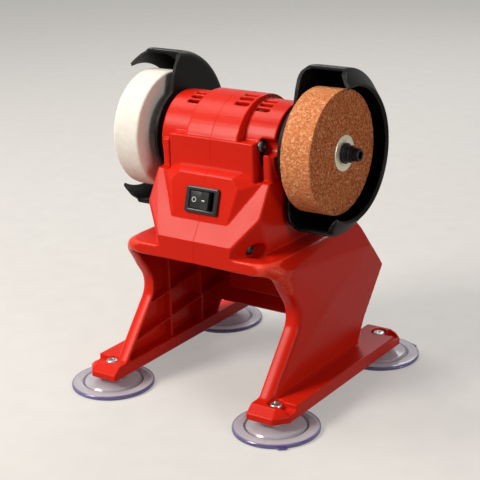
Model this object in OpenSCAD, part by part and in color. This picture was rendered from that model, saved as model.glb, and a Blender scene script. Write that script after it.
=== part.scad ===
// Cordless bench grinder: two moulded body halves on four suction cups carry a
// direct-drive motor whose spindle turns a grinding wheel and a felt wheel.
// X runs along the spindle, the switch faces -Y, Z is up, origin on the table.

/* [Wheels and spindle] */
// Height of the spindle axis above the table
axis_z = 155; // [150:1:165]
// Diameter of both wheels
wheel_d = 75; // [70:1:76]
// Thickness of both wheels
wheel_w = 20; // [16:1:21]
// Distance from the middle to the inner face of a wheel
wheel_in = 52; // [51:0.5:54]
// Diameter of the spindle
shaft_d = 8; // [7:0.1:8.4]
// Diameter of the wheel bore
wheel_bore = 10; // [9.6:0.1:12]
// Diameter of the clamping flange inside each wheel
flange_d = 26; // [20:1:27]
// Thickness of the clamping flange
flange_t = 4; // [3:0.5:4.5]
// Diameter of the outer clamping washer
washer_d = 22; // [16:1:26]
// Thickness of the outer clamping washer
washer_t = 1.6; // [1:0.2:2.5]
// Diameter of the round spindle nut
nut_d = 10.4; // [9.6:0.2:14]
// Length of the spindle nuts
nut_l = 6; // [4:0.5:8]
// Length of the spindle nose beyond the nut
nose_l = 4.4; // [2:0.2:5]
// Diameter of the drive socket in the spindle nose
socket_d = 4.8; // [3:0.1:5.2]
// Depth of the drive socket
socket_l = 8; // [5:0.5:12]

/* [Wheel guards] */
// Outer radius of the guard channel
guard_r = 50; // [47:0.5:51]
// Wall of the guards
guard_wall = 2.4; // [1.8:0.1:3]
// Distance from the middle to the motor side of the guard plate
guard_x = 44; // [43:0.25:44.5]
// Distance from the middle to the bend of the guard lip
guard_bend_x = 72; // [68:0.5:74]
// Distance from the middle to the rim of the guard lip
guard_rim_x = 80.5; // [76:0.5:84]
// Radius of the guard lip at its rim
guard_rim_r = 41; // [40.5:0.5:44]
// Radius of the round plate in front of the spindle
guard_disc_r = 28; // [25:0.5:30]
// Angle that the guard runs past the bottom towards the front
guard_tail = 18; // [0:1:25]
// Angle by which the guard stops short of the top
guard_lead = 3; // [0:1:10]

/* [Body halves] */
// Wall of the body halves
wall = 2.6; // [2.2:0.1:3]
// Outer side of the legs
leg_x = 60; // [58:0.5:62]
// Inner side of the legs
leg_in = 50; // [49:0.5:51]
// Height of the deck above the table
deck_z = 97; // [95:0.5:99]
// Front face of the apron below the switch
apron_y = 54; // [53.5:0.25:55]
// Height of the lower edge of the apron
apron_z = 90; // [89:0.5:91]
// Furthest reach of the rear wall
bulge_y = 71.5; // [71:0.25:73]
// Height at which the rear wall reaches furthest
bulge_z = 61; // [60:0.5:62]
// Radius of the round outer edge along the front of the legs
leg_round = 5; // [3:0.5:6]
// Height of the low peak where the outer facets of the legs meet
leg_peak = 1.8; // [0.6:0.1:2.4]
// Half width of the motor block
block_x = 40.2; // [39.5:0.1:40.6]
// Radius of the barrel round the motor
barrel_r = 27; // [26.8:0.1:27.6]
// Half length of the barrel
barrel_x = 41.2; // [41:0.1:41.6]
// Half width of the raised band over the barrel
band_x = 18.6; // [16:0.2:18.8]
// Radius of the raised band
band_r = 34.5; // [34:0.1:35]
// Half width of the front panel
panel_x = 30.5; // [29.5:0.25:30.75]
// Distance from the middle to the front panel
panel_y = 33; // [32.75:0.25:33.5]
// Height of the top edge of the front panel
panel_z = 162.4; // [160:0.2:164]
// Thickness of the stiffening ribs
rib_t = 2; // [1.4:0.1:3]
// Thickness of the ribs inside the legs
leg_rib_t = 1.4; // [1:0.1:2]

/* [Feet and suction cups] */
// Distance from the middle to a suction cup along X
cup_x = 62.2; // [61:0.2:63]
// Distance from the middle to a suction cup along Y
cup_y = 62.6; // [61.5:0.1:63.5]
// Radius of a suction cup
cup_r = 26.5; // [24:0.5:28]
// Radius of the raised middle of a suction cup
cup_step_r = 18.5; // [15:0.5:20]
// Height of the underside of the feet
foot_z = 8.5; // [8:0.25:10]
// Height of the top of the feet
foot_top = 17; // [16.5:0.25:18]
// Outer edge of the feet
foot_x = 75; // [74:0.5:76]
// End of the feet
foot_y = 76; // [75:0.5:77]
// Diameter of the foot screws
foot_screw_d = 4; // [3:0.1:4.4]

/* [Switch] */
// Width of the switch bezel
bezel_w = 23.6; // [22.6:0.2:25]
// Height of the switch bezel
bezel_h = 16; // [15.4:0.2:17]
// Thickness of the switch bezel
bezel_t = 2; // [1.6:0.1:2.4]
// Width of the switch body behind the panel
switch_w = 19.2; // [18.6:0.1:19.6]
// Height of the switch body behind the panel
switch_h = 12.8; // [12.4:0.1:13.2]
// Depth of the switch body behind the panel
switch_depth = 15; // [13:0.5:16]
// Angle between the two faces of the rocker
rocker_bend = 22; // [18:1:24]

/* [Battery] */
// Half width of the battery pack
pack_x = 37.5; // [36.5:0.25:37.5]
// Height of the underside of the battery pack
pack_low = 40; // [39.5:0.25:41]
// Height of the top of the battery pack
pack_top = 83; // [82:0.25:83.5]
// Distance from the middle to the inner face of the battery pack
pack_y = 40; // [39:0.25:40]
// Wall of the battery pack
pack_wall = 2; // [1.6:0.1:2.4]
// Diameter of a battery cell
cell_d = 16.4; // [15:0.1:16.4]
// Length of a battery cell
cell_l = 34; // [30:0.5:34.5]
// Width of the battery release button
latch_w = 26; // [18:1:32]
// Length of the battery release button along the slope
latch_l = 9; // [7:0.5:9.5]
// Travel of the battery release button
latch_travel = 2; // [1.5:0.1:2.4]

/* [Motor] */
// Outer radius of the motor can
can_r = 21; // [20.4:0.1:21.4]
// Half length of the motor can
can_x = 29; // [28:0.25:29.5]
// Wall of the motor can
can_wall = 1.4; // [1:0.1:1.8]
// Thickness of the motor magnets
magnet_t = 4.4; // [3.6:0.1:5]
// Half length of the armature core
core_x = 12; // [9:0.5:13]
// Outer radius of the ball bearings
bearing_r = 11; // [10.6:0.1:11.2]
// Width of the ball bearings
bearing_w = 7; // [6.5:0.1:7]

/* [Fits] */
// Radial clearance of pressed and seated pieces
seat_gap = 0.03; // [0.02:0.01:0.06]
// Clearance round pieces that move
move_gap = 0.3; // [0.25:0.05:0.4]

/* [Hidden] */
$fn = 64;

shell_red = "#D01F14";
guard_black = "#1B1B1C";
steel = "#BDB8A6";

wheel_out = wheel_in + wheel_w;
washer_out = wheel_out + washer_t;
nut_out = washer_out + nut_l;
nose_out = nut_out + nose_l;

// Armature inside the magnets
air_gap = 0.6;
core_r = can_r - can_wall - magnet_t - air_gap;
comm_r = 0.41 * core_r;

// Shaft seats
shaft_r = shaft_d / 2;
bearing_in = barrel_x - bearing_w;
flange_in = wheel_in - flange_t;
nose_r = 14;
nose_hole_r = wheel_bore / 2 + 1.4;
spacer_r = wheel_bore / 2 + 0.6;

// Guard screws on the end faces of the barrel
guard_screw_r = 19;
guard_screw_d = 3.5;
guard_boss_r = 4;

// Body screws, all driven from the right
body_screw_d = 3.5;
body_head_r = 3.4;
pocket_r = 5;
pocket_x = panel_x + 0.5;
pocket_end = block_x + 7;
screw_tip = 16;
screws = [
    [-25, axis_z + 4.5],
    [25, axis_z + 4.5],
    [-41, deck_z + 3.5],
    [35, deck_z + 3.5]
];

// Switch plane: it leans back from the lower edge of the pod
pod_low = [-48, 112];
pod_top = [-39.3, 141.9];
pod_lean = atan2(pod_top[0] - pod_low[0], pod_top[1] - pod_low[1]);
switch_x = 0.8;
switch_mid = (pod_low + pod_top) / 2;

// Side outline of the rear wall
deck_rear = [50, deck_z - 1];
rear_low = [42, 24.5];
waist_rear = [47, 32];

function unit(v) = v / norm(v);
function edge_normal(a, b) = let (d = unit(b - a)) [d[1], -d[0]];

// Moves each edge of a counter-clockwise outline inwards by its own distance
function inset(pts, d) = [
    for (i = [0 : len(pts) - 1])
        let (
            n = len(pts),
            k = (i + n - 1) % n,
            a = edge_normal(pts[k], pts[i]),
            b = edge_normal(pts[i], pts[(i + 1) % n]),
            det = a[0] * b[1] - a[1] * b[0]
        )
        abs(det) < 0.005 ? pts[i] - b * d[i]
            : pts[i] - [d[k] * b[1] - d[i] * a[1], d[i] * a[0] - d[k] * b[0]] / det
];

// Arc of n steps that rounds the corner p1 between p0 and p2
function corner(p0, p1, p2, r, n = 6) =
    let (
        u = unit(p0 - p1),
        v = unit(p2 - p1),
        half = acos(u * v) / 2,
        c = p1 + unit(u + v) * r / sin(half),
        s = p1 + u * r / tan(half) - c,
        e = p1 + v * r / tan(half) - c,
        a = atan2(s[1], s[0]),
        turn = atan2(s[0] * e[1] - s[1] * e[0], s * e)
    )
    [for (i = [0 : n]) c + r * [cos(a + turn * i / n), sin(a + turn * i / n)]];

function flat2(p) = [p[0], p[1]];

// Open path whose inner points carry a rounding radius as third value
function rounded(path) = [
    for (i = [0 : len(path) - 1])
        each (len(path[i]) < 3 || path[i][2] == 0) ? [flat2(path[i])]
            : corner(flat2(path[i - 1]), flat2(path[i]), flat2(path[i + 1]), path[i][2])
];

// Solid through a list of equal rings, closed at each end by a fan round a given point
module skin(rings, start, end) {
    n = len(rings[0]);
    last = (len(rings) - 1) * n;
    polyhedron(
        points = concat([for (r = rings) each r], [start, end]),
        faces = concat(
            [for (i = [0 : n - 1]) [i, (i + 1) % n, last + n]],
            [for (i = [0 : n - 1]) [last + (i + 1) % n, last + i, last + n + 1]],
            [for (k = [0 : len(rings) - 2], i = [0 : n - 1])
                each let (a = k * n + i, b = k * n + (i + 1) % n)
                    [[a, a + n, b], [b, a + n, b + n]]]
        )
    );
}

// Side outline (y, z) drawn out along X
module along_x(x0, x1) {
    translate([x0, 0, 0])
        rotate([90, 0, 90])
            linear_extrude(x1 - x0)
                children();
}

// Round bar or bore along X, at (y, z)
module rod_x(x0, x1, r, at = [0, axis_z]) {
    translate([x0, at[0], at[1]])
        rotate([0, 90, 0])
            cylinder(h = x1 - x0, r = r);
}

// Revolve about the spindle axis of an outline in (r, x)
module turned() {
    translate([0, 0, axis_z])
        rotate([0, 90, 0])
            rotate_extrude($fn = 96)
                children();
}

// Drawn once for each end of the spindle: +1 is the right side
module at_side(side) {
    mirror([side < 0 ? 1 : 0, 0, 0])
        children();
}

// Local frame of the switch: x across, y up the panel, z out of it
module on_switch() {
    translate([switch_x, switch_mid[0], switch_mid[1]])
        rotate([90 - pod_lean, 0, 0])
            children();
}

// Body halves

// Front edge of a leg on its inner side, and the crease where its rounding ends outside
leg_front = rounded([
    [-apron_y + 1.2, apron_z + 2],
    [-46, 85.5, 8],
    [-28.3, 59, 15],
    [-66.8, foot_top - 4]
]);
leg_crease = rounded([
    [-apron_y + leg_x - leg_in + 0.6, apron_z + 2],
    [-42.4, 84.5, 4],
    [-28.3 + leg_round, 59, 15],
    [-66.8 + 1.3 * leg_round, foot_top - 4]
]);
leg_rear = rounded([
    [-25, foot_top - 4],
    [36, foot_top - 4],
    [waist_rear[0], waist_rear[1], 6],
    [bulge_y, bulge_z],
    [56, 79.5],
    [-10, apron_z - 3],
    [-40, apron_z + 2]
]);
leg_outline = concat(leg_front, leg_rear);
// Point in the side view where the outer facets meet
leg_hub = [1, 57.5];

function leg_ring(x, blend) = [
    for (p = concat(leg_front + blend * (leg_crease - leg_front), leg_rear)) [x, p[0], p[1]]
];

module leg_solid() {
    steps = 4;
    skin(concat(
        [leg_ring(leg_in, 0)],
        [for (i = [0 : steps])
            let (a = 90 * i / steps)
            leg_ring(leg_x - leg_round * (1 - sin(a)), 1 - cos(a))]
    ), [leg_in, leg_hub[0], leg_hub[1]], [leg_x + leg_peak, leg_hub[0], leg_hub[1]]);
}

// Hollow of the leg, open towards the middle
module leg_hollow() {
    along_x(leg_in - 1, leg_x - wall)
        polygon(inset(leg_outline, [for (p = leg_outline) wall]));
}

module leg_ribs() {
    rise = 0.1;
    intersection() {
        union() {
            for (y = [-13, 21])
                translate([leg_in + 1, y - leg_rib_t / 2, foot_z])
                    cube([leg_x - leg_in - 2, leg_rib_t, deck_z - foot_z - wall]);
            for (z = [50, 31.5])
                along_x(leg_in + 1, leg_x - 1)
                    polygon([[-80, z - 80 * rise], [80, z + 80 * rise],
                        [80, z + 80 * rise + leg_rib_t], [-80, z - 80 * rise + leg_rib_t]]);
        }
        along_x(leg_in + 1, leg_x - 1)
            polygon(inset(leg_outline, [for (p = leg_outline) wall / 2]));
    }
}

module leg() {
    difference() {
        leg_solid();
        leg_hollow();
        // Room for the head of the front foot screw
        translate([cup_x, -cup_y, foot_seat])
            cylinder(h = 10, r = foot_head_r + 0.6);
        // The corner of the deck runs on down the front of the leg
        translate([0, 0, bulge_z])
            linear_extrude(deck_z - bulge_z)
                polygon([[leg_in - 1, -apron_y - 2], [leg_in - 1, -apron_y - 0.5],
                    [leg_x + 2, -apron_y + leg_x - leg_in + 2.5], [leg_x + 2, -apron_y - 2]]);
    }
    leg_ribs();
}

// Solid that spans a handful of corner points
module span(pts) {
    hull()
        polyhedron(points = pts, faces = [[for (i = [0 : len(pts) - 1]) i]]);
}

// Corners of the roof of the stand, moved inwards by t
function roof_points(t) = let (side = leg_x - leg_in - 3) concat(
    [for (x = [-t, leg_in - 0.6 * t]) [x, -apron_y + t, deck_z - t]],
    [for (x = [-t, leg_x - side - t]) [x, deck_rear[0] - 0.8 * t, deck_rear[1] - t]],
    [
        [leg_x - side - t, -apron_y + side + t, deck_z - t],
        [leg_x - t, -apron_y + leg_x - leg_in + t, apron_z + 1],
        [leg_x - t, -apron_y + leg_x - leg_in + t, apron_z - 6],
        [leg_x - t, 56 - t, 79.5],
        [leg_x - t, bulge_y - 1.3 * t, bulge_z],
        [-t, bulge_y - 1.3 * t, bulge_z]
    ]
);

// Roof of the stand: a faceted shell open at the bottom
module roof() {
    difference() {
        span(concat(roof_points(0), [[0, -apron_y, apron_z], [leg_in - 1.5, -apron_y, apron_z]]));
        span(concat(roof_points(wall),
            [for (x = [-1, leg_x - wall], y = [-apron_y + wall, bulge_y - 1.5 * wall]) [x, y, bulge_z - 25]]));
    }
}

module rear_wall() {
    slope = unit([bulge_y, bulge_z] - rear_low);
    back = [-slope[1], slope[0]] * wall;
    along_x(-1, leg_x - 1)
        polygon([rear_low, [bulge_y, bulge_z], [bulge_y - 0.65 * wall, bulge_z + 2],
            [bulge_y - 1.6 * wall, bulge_z + 2], rear_low + back]);
}

foot_cells = 5;
foot_cell = (2 * cup_y - 28 + rib_t) / foot_cells;
foot_head_r = 4;
foot_head_h = 2;
foot_seat = foot_top - foot_head_h - 0.2;

module foot() {
    bevel = 4.5;
    run = 6;
    chamfer = 8;
    difference() {
        span([
            for (s = [-1, 1]) each concat(
                [for (z = [foot_z, foot_top - bevel]) each [
                    [leg_in - 0.5, s * foot_y, z],
                    [foot_x - chamfer + 1, s * foot_y, z],
                    [foot_x, s * (foot_y - chamfer), z]
                ]],
                [
                    [leg_in - 0.5, s * (foot_y - run), foot_top],
                    [foot_x - chamfer, s * (foot_y - run), foot_top],
                    [foot_x, s * (foot_y - run - chamfer + 1), foot_top]
                ]
            )
        ]);
        // Underside hollows between the cups, with cross ribs left standing
        for (i = [0 : foot_cells - 1])
            translate([leg_in - 0.5 + wall, -cup_y + 14 + i * foot_cell, foot_z - 1])
                cube([foot_x - leg_in + 0.5 - 2 * wall, foot_cell - rib_t, foot_top - foot_z - wall + 1]);
        for (s = [-1, 1]) {
            translate([cup_x, s * cup_y, 0])
                cylinder(h = foot_top, d = foot_screw_d + 0.4);
            // Pocket for the screw head, open to the outer edge
            translate([cup_x, s * cup_y, foot_seat])
                cylinder(h = foot_top, r = foot_head_r + 1);
            translate([cup_x + foot_head_r, s * (cup_y + 1) - 4, foot_seat - 1.6])
                cube([foot_x, 8, foot_top]);
        }
    }
}

// Bay for the battery pack, closed towards the front
module bay_box() {
    t = wall - 0.4;
    intersection() {
        translate([-1, pack_y - 0.5 - t, pack_low - move_gap - t])
            cube([pack_x + move_gap + t + 1, 60, pack_top - pack_low + 2 * (move_gap + t)]);
        along_x(-1, pack_x + 10)
            polygon(stand_side());
    }
}

function stand_side() = [
    [0, deck_z], [0, 20], rear_low, [bulge_y, bulge_z], deck_rear
];

module bay_cut() {
    translate([-1, pack_y - 0.5, pack_low - move_gap])
        cube([pack_x + move_gap + 1, 60, pack_top - pack_low + 2 * move_gap]);
}

// Motor block

module block_core() {
    r = 2.5;
    front = rounded([
        [0, -panel_y + 4.5],
        [block_x, -panel_y + 4.5, r],
        [block_x, panel_y - 3, r],
        [0, panel_y - 3]
    ]);
    translate([0, 0, deck_z - 2 * wall])
        linear_extrude(axis_z + 2 - deck_z + 2 * wall)
            polygon(concat(front, [[-1, panel_y - 3], [-1, -panel_y + 4.5]]));
}

module barrel() {
    rod_x(-1, barrel_x, barrel_r);
    intersection() {
        rod_x(-1, band_x, band_r, [0, axis_z - 5]);
        translate([-1, -band_r, panel_z - 1])
            cube([band_x + 1, 2 * band_r, band_r]);
    }
    rod_x(barrel_x - 1, guard_x, nose_r);
    for (a = [45, 135, 225, 315])
        rod_x(barrel_x - 1, guard_x, guard_boss_r,
            [guard_screw_r * cos(a), axis_z + guard_screw_r * sin(a)]);
}

module panels() {
    translate([-1, -panel_y, deck_z])
        cube([panel_x + 1, 2 * panel_y, panel_z - deck_z]);
}

skirt_x = block_x + 1;
skirt_mid = 122;
skirt_top = 139.5;

// Sloping skirt round the foot of the motor block, one for the front and one for the rear
module skirt(reach) {
    low = 104.3;
    lean = (reach - panel_y) / (skirt_top - low);
    span([
        for (x = [-1, 26.5]) each [[x, -reach + 1, low], [x, -reach, low - 0.5]],
        for (x = [-1, 34.5]) each [[x, -reach, deck_z], [x, -reach, deck_z - 4]],
        for (z = [deck_z - 4, deck_z]) each [[skirt_x - 0.2, -panel_y + 1, z], [skirt_x - 0.2, 0, z]],
        for (x = [-1, skirt_x]) each [[x, -panel_y + 1, skirt_top], [x, 0, skirt_top]],
        [skirt_x, -reach + 1 + lean * (skirt_mid - low), skirt_mid]
    ]);
}

// Wedge that cuts back the front corner of the skirt above the screw pocket
module skirt_corner() {
    a = [27.4, -apron_y, 103.2];
    b = [skirt_x - 0.3, -panel_y - 2.5, deck_z];
    c = [skirt_x + 0.4, -panel_y - 10, skirt_mid + 0.3];
    out = cross(b - a, c - a);
    far = 30 * out / norm(out);
    corners = [for (p = [a, b, c]) 3 * p - (a + b + c) * 2 / 3];
    span(concat(corners, [for (p = corners) p + far]));
}

// Raised pod that carries the switch
module pod() {
    shoulder_z = 135.6;
    lean = (pod_top[0] - pod_low[0]) / (pod_top[1] - pod_low[1]);
    span([
        for (x = [-1, 19.3]) [x, pod_low[0], pod_low[1]],
        for (x = [-1, 19.2]) [x, pod_top[0], pod_top[1]],
        [24.4, pod_low[0] + lean * (shoulder_z - pod_low[1]), shoulder_z],
        for (x = [-1, 22.5]) [x, -panel_y, 144.5],
        for (x = [-1, 20.5]) [x, -panel_y, 110],
        for (y = [-panel_y, -panel_y + 6]) [panel_x - 0.1, y, skirt_top],
        [skirt_x - 5.4, -panel_y + 0.7, skirt_top - 0.2],
        [-1, -panel_y + 6, 144.5]
    ]);
}

groove_w = 3.8;
groove_y = panel_y - 10;

// Upright groove between the front panel and the side of the motor block
module side_groove() {
    low = skirt_top - 0.5;
    translate([panel_x, -panel_y - 1, low])
        cube([groove_w, panel_y + 1 - groove_y, axis_z + 4 - low]);
}

module motor_cavity() {
    inner_r = barrel_r - wall;
    difference() {
        union() {
            rod_x(-1, bearing_in - 3, inner_r);
            translate([-1, -panel_y + 4.5 + wall, deck_z + wall])
                cube([panel_x - wall + 1, 2 * panel_y - 7.5 - 2 * wall, axis_z - deck_z - wall]);
            translate([-1, -groove_y + wall, deck_z + wall])
                cube([block_x - wall - 1.5, 2 * (groove_y - wall), axis_z - deck_z - wall]);
        }
        // Webs that hold the motor can
        for (x = [11.7, 23])
            difference() {
                translate([x, -panel_y, deck_z])
                    cube([rib_t, 2 * panel_y, 2 * barrel_r + axis_z - deck_z]);
                rod_x(x - 1, x + rib_t + 1, can_r + seat_gap);
            }
    }
    // Bearing seat and the way out for the spindle
    rod_x(bearing_in - 4, barrel_x, bearing_r + seat_gap);
    rod_x(barrel_x - 1, guard_x + 1, nose_hole_r);
    // Opening for the wires down to the battery bay
    translate([-1, 6, deck_z - 3 * wall])
        cube([9, 16, 6 * wall]);
}

module switch_opening() {
    on_switch()
        translate([-switch_w / 2 - 0.2, -switch_h / 2 - 0.2, -switch_depth - 10])
            cube([switch_w + 0.4, switch_h + 0.4, switch_depth + 20]);
}

vent_w = 9.6;
vent_h = 3;
vent_rows = [8, 18.5, 29];

// Rows of vent slots at both sides of the crown
module vents(x) {
    for (a = vent_rows, s = [-1, 1])
        translate([x - vent_w / 2, 0, axis_z])
            rotate([s * a, 0, 0])
                translate([0, -vent_h / 2, barrel_r - 2 * wall])
                    cube([vent_w, vent_h, 4 * wall]);
}

module guard_pilots() {
    for (a = [45, 135, 225, 315])
        rod_x(guard_x - 6, guard_x + 1, guard_screw_d / 2 + seat_gap,
            [guard_screw_r * cos(a), axis_z + guard_screw_r * sin(a)]);
}

// Everything that both halves share, drawn for the right side
module half_body() {
    intersection() {
        difference() {
            union() {
                roof();
                leg();
                rear_wall();
                foot();
                bay_box();
                block_core();
                barrel();
                panels();
                difference() {
                    skirt(apron_y);
                    skirt_corner();
                }
                mirror([0, 1, 0])
                    skirt(apron_y - 8);
                pod();
            }
            bay_cut();
            motor_cavity();
            guard_pilots();
            side_groove();
            vents(25);
        }
        translate([0, -150, 0])
            cube(300);
    }
}

module left_shell() {
    color(shell_red)
        difference() {
            mirror([1, 0, 0])
                half_body();
            switch_opening();
            for (s = screws)
                rod_x(-screw_tip - 1, 1, body_screw_d / 2 + seat_gap, s);
        }
}

module right_shell() {
    color(shell_red)
        difference() {
            half_body();
            switch_opening();
            vents(11.5);
            for (s = screws) {
                rod_x(-1, pocket_x + 1, body_screw_d / 2 + seat_gap, s);
                rod_x(pocket_x, pocket_end, pocket_r, s);
            }
        }
}

module shell_screws() {
    color(steel)
        for (s = screws) {
            rod_x(-screw_tip, pocket_x, body_screw_d / 2, s);
            difference() {
                rod_x(pocket_x, pocket_x + 2.4, body_head_r, s);
                for (q = [0, 90])
                    translate([pocket_x + 2.4, s[0], s[1]])
                        rotate([q, 0, 0])
                            cube([2.4, 0.8, 3.6], center = true);
            }
        }
}

// Switch

module switch_housing() {
    open_w = switch_w - 1.6;
    open_h = switch_h - 1.6;
    color(guard_black)
        on_switch()
            difference() {
                union() {
                    translate([-bezel_w / 2, -bezel_h / 2, seat_gap])
                        cube([bezel_w, bezel_h, bezel_t]);
                    translate([-switch_w / 2, -switch_h / 2, -switch_depth])
                        cube([switch_w, switch_h, switch_depth + 0.5]);
                }
                translate([-open_w / 2, -open_h / 2, -7])
                    cube([open_w, open_h, 20]);
                rocker_pin(pin_r + 0.05, switch_h);
            }
}

rocker_half = switch_w / 2 - 1.6;
rocker_pivot = -1;
pin_r = 0.9;

// Pin line of the rocker, across the switch
module rocker_pin(r, l) {
    translate([0, l / 2, rocker_pivot])
        rotate([90, 0, 0])
            cylinder(h = l, r = r);
}

// Rocker at rest: its left face lies flat and its right face stands up
module switch_rocker() {
    h = switch_h - 1.6 - 2 * move_gap;
    crest = [-0.5, bezel_t - 0.4];
    right = crest + rocker_half * [cos(rocker_bend), sin(rocker_bend)];
    left = crest - [rocker_half, 0];
    color(guard_black)
        on_switch() {
            translate([0, h / 2, 0])
                rotate([90, 0, 0])
                    linear_extrude(h)
                        polygon([left, crest, right, right - [0.2, 4], [3, -3.6], [-3, -3.6], left - [0, 2]]);
            rocker_pin(pin_r, switch_h - 0.2);
        }
}

module switch_terminals() {
    color(steel)
        on_switch()
            for (x = [-5, 5])
                translate([x - 2.4, -0.4, -switch_depth - 7])
                    cube([4.8, 0.8, 7]);
}

// Motor

module motor_can() {
    color(steel)
        difference() {
            rod_x(-can_x, can_x - 3, can_r);
            rod_x(-can_x + can_wall, can_x, can_r - can_wall);
            rod_x(-can_x - 1, can_x, shaft_r + 2);
            for (a = [0 : 60 : 300])
                translate([-can_x - 1, 0, axis_z])
                    rotate([a, 0, 0])
                        translate([0, 0.57 * can_r, 0])
                            rotate([0, 90, 0])
                                cylinder(h = 3 * can_wall, r = can_r / 7);
        }
}

module motor_end_bell() {
    color("#3A3A3C")
        difference() {
            union() {
                rod_x(can_x - 3, can_x, can_r);
                rod_x(can_x - 6, can_x - 2, can_r - can_wall - seat_gap);
            }
            rod_x(can_x - 7, can_x + 1, shaft_r + 2);
            rod_x(can_x - 7, can_x - 3, can_r - can_wall - 3);
        }
}

module motor_magnets() {
    inner = core_r + air_gap;
    outer = can_r - can_wall - seat_gap;
    color("#4A4844")
        for (s = [0, 180])
            translate([-core_x, 0, axis_z])
                rotate([s - 65, 0, 0])
                    rotate([90, 0, 90])
                        rotate_extrude(angle = 130)
                            translate([inner, 0])
                                square([outer - inner, 2 * core_x]);
}

module motor_brushes() {
    l = core_r / 2;
    gap = 0.05;
    color("#2E2C2B")
        for (s = [-1, 1])
            translate([can_x - 7.6, s > 0 ? comm_r + gap : -comm_r - gap - l, axis_z - 2])
                cube([4, l, 4]);
}

module armature_core() {
    slots = 8;
    color("#8B8780")
        difference() {
            rod_x(-core_x, core_x, core_r);
            rod_x(-core_x - 1, core_x + 1, shaft_r + seat_gap);
            for (a = [0 : 360 / slots : 359])
                translate([-core_x - 1, 0, axis_z])
                    rotate([a, 0, 0])
                        translate([0, -1.4, core_r - 6])
                            cube([2 * core_x + 2, 2.8, 8]);
        }
}

module armature_coils() {
    slots = 8;
    color("#B4632D")
        for (s = [-1, 1])
            at_side(s)
                difference() {
                    rod_x(core_x, core_x + 4.5, core_r - 1.5);
                    rod_x(core_x - 1, core_x + 6, shaft_r + seat_gap);
                    for (a = [0 : 360 / slots : 359])
                        translate([core_x - 1, 0, axis_z])
                            rotate([a, 0, 0])
                                translate([0, -0.5, core_r - 4.5])
                                    cube([8, 1, 8]);
                }
}

module commutator() {
    bars = 8;
    color("#B87333")
        difference() {
            rod_x(core_x + 5, can_x - 3.2, comm_r);
            rod_x(core_x, can_x, shaft_r + seat_gap);
            for (a = [0 : 360 / bars : 359])
                translate([core_x, 0, axis_z])
                    rotate([a, 0, 0])
                        translate([0, -0.25, comm_r - 0.8])
                            cube([can_x, 0.5, 2]);
        }
}

module cooling_fan() {
    blades = 9;
    x0 = -can_x + can_wall + 1;
    x1 = -core_x - 5.5;
    color("#2B2C30")
        difference() {
            union() {
                rod_x(x1 - 1.5, x1, core_r + 2);
                rod_x(x0, x1, shaft_r + 2.5);
                for (a = [0 : 360 / blades : 359])
                    translate([x0, 0, axis_z])
                        rotate([a, 0, 0])
                            translate([0, -0.6, shaft_r + 1])
                                cube([x1 - x0 - 1, 1.2, core_r - shaft_r + 0.5]);
            }
            rod_x(x0 - 1, x1 + 1, shaft_r + seat_gap);
        }
}

// Bearings

ball_r = 2;
race_r = (bearing_r + shaft_r) / 2 + 0.1;

module bearing_outer(side) {
    color("#C9C9CC")
        at_side(side)
            difference() {
                rod_x(bearing_in, barrel_x, bearing_r);
                rod_x(bearing_in - 1, barrel_x + 1, race_r + 1.4);
                race(0.05);
            }
}

module bearing_inner(side) {
    color("#C9C9CC")
        at_side(side)
            difference() {
                rod_x(bearing_in, barrel_x, race_r - 1.4);
                rod_x(bearing_in - 1, barrel_x + 1, shaft_r + seat_gap);
                race(0.05);
            }
}

module race(gap) {
    translate([bearing_in + bearing_w / 2, 0, 0])
        turned()
            translate([race_r, 0])
                circle(r = ball_r + gap);
}

module bearing_balls(side) {
    count = 7;
    color("#DADADC")
        at_side(side)
            for (i = [0 : count - 1])
                translate([bearing_in + bearing_w / 2, race_r * cos(360 * i / count),
                    axis_z + race_r * sin(360 * i / count)])
                    sphere(r = ball_r, $fn = 24);
}

// Spindle

module spindle_shaft() {
    color(steel)
        difference() {
            union() {
                rod_x(-nut_out - 1.5, nut_out, shaft_r);
                rod_x(nut_out - 1, nose_out, shaft_r - 0.1);
            }
            rod_x(nose_out - socket_l, nose_out + 1, socket_d / 2);
        }
}

// Inner flange with the spigot that centres the wheel
module arbor_sleeve(side) {
    color("#9A9893")
        at_side(side)
            difference() {
                union() {
                    rod_x(barrel_x + 0.1, flange_in + 1, spacer_r);
                    rod_x(flange_in, wheel_in, flange_d / 2);
                    rod_x(wheel_in - 1, wheel_out - 1, wheel_bore / 2 - seat_gap);
                }
                rod_x(barrel_x - 1, wheel_out + 1, shaft_r + seat_gap);
            }
}

module wheel(side, edge, steps) {
    r = wheel_d / 2;
    outline = concat(
        [[wheel_bore / 2, wheel_in], [r - edge, wheel_in]],
        [for (i = [1 : steps]) [r - edge + edge * sin(90 * i / steps), wheel_in + edge * (1 - cos(90 * i / steps))]],
        [for (i = [0 : steps]) [r - edge + edge * cos(90 * i / steps), wheel_out - edge * (1 - sin(90 * i / steps))]],
        [[wheel_bore / 2, wheel_out]]
    );
    at_side(side)
        turned()
            polygon(outline);
}

module felt_wheel() {
    color("#F2F0E8")
        wheel(-1, 2, 4);
}

module grinding_wheel() {
    color("#B4693F")
        wheel(1, 0.8, 1);
}

module washer(side) {
    chamfer = 0.4;
    color(steel)
        at_side(side)
            turned()
                polygon([
                    [shaft_r + seat_gap, wheel_out],
                    [washer_d / 2, wheel_out],
                    [washer_d / 2, washer_out - chamfer],
                    [washer_d / 2 - chamfer, washer_out],
                    [shaft_r + seat_gap, washer_out]
                ]);
}

module left_nut() {
    color("#2A2A2B")
        at_side(-1)
            difference() {
                translate([washer_out, 0, axis_z])
                    rotate([0, 90, 0])
                        cylinder(h = nut_l, d = 13 / cos(30), $fn = 6);
                rod_x(washer_out - 1, nut_out + 1, shaft_r + seat_gap);
            }
}

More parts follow.
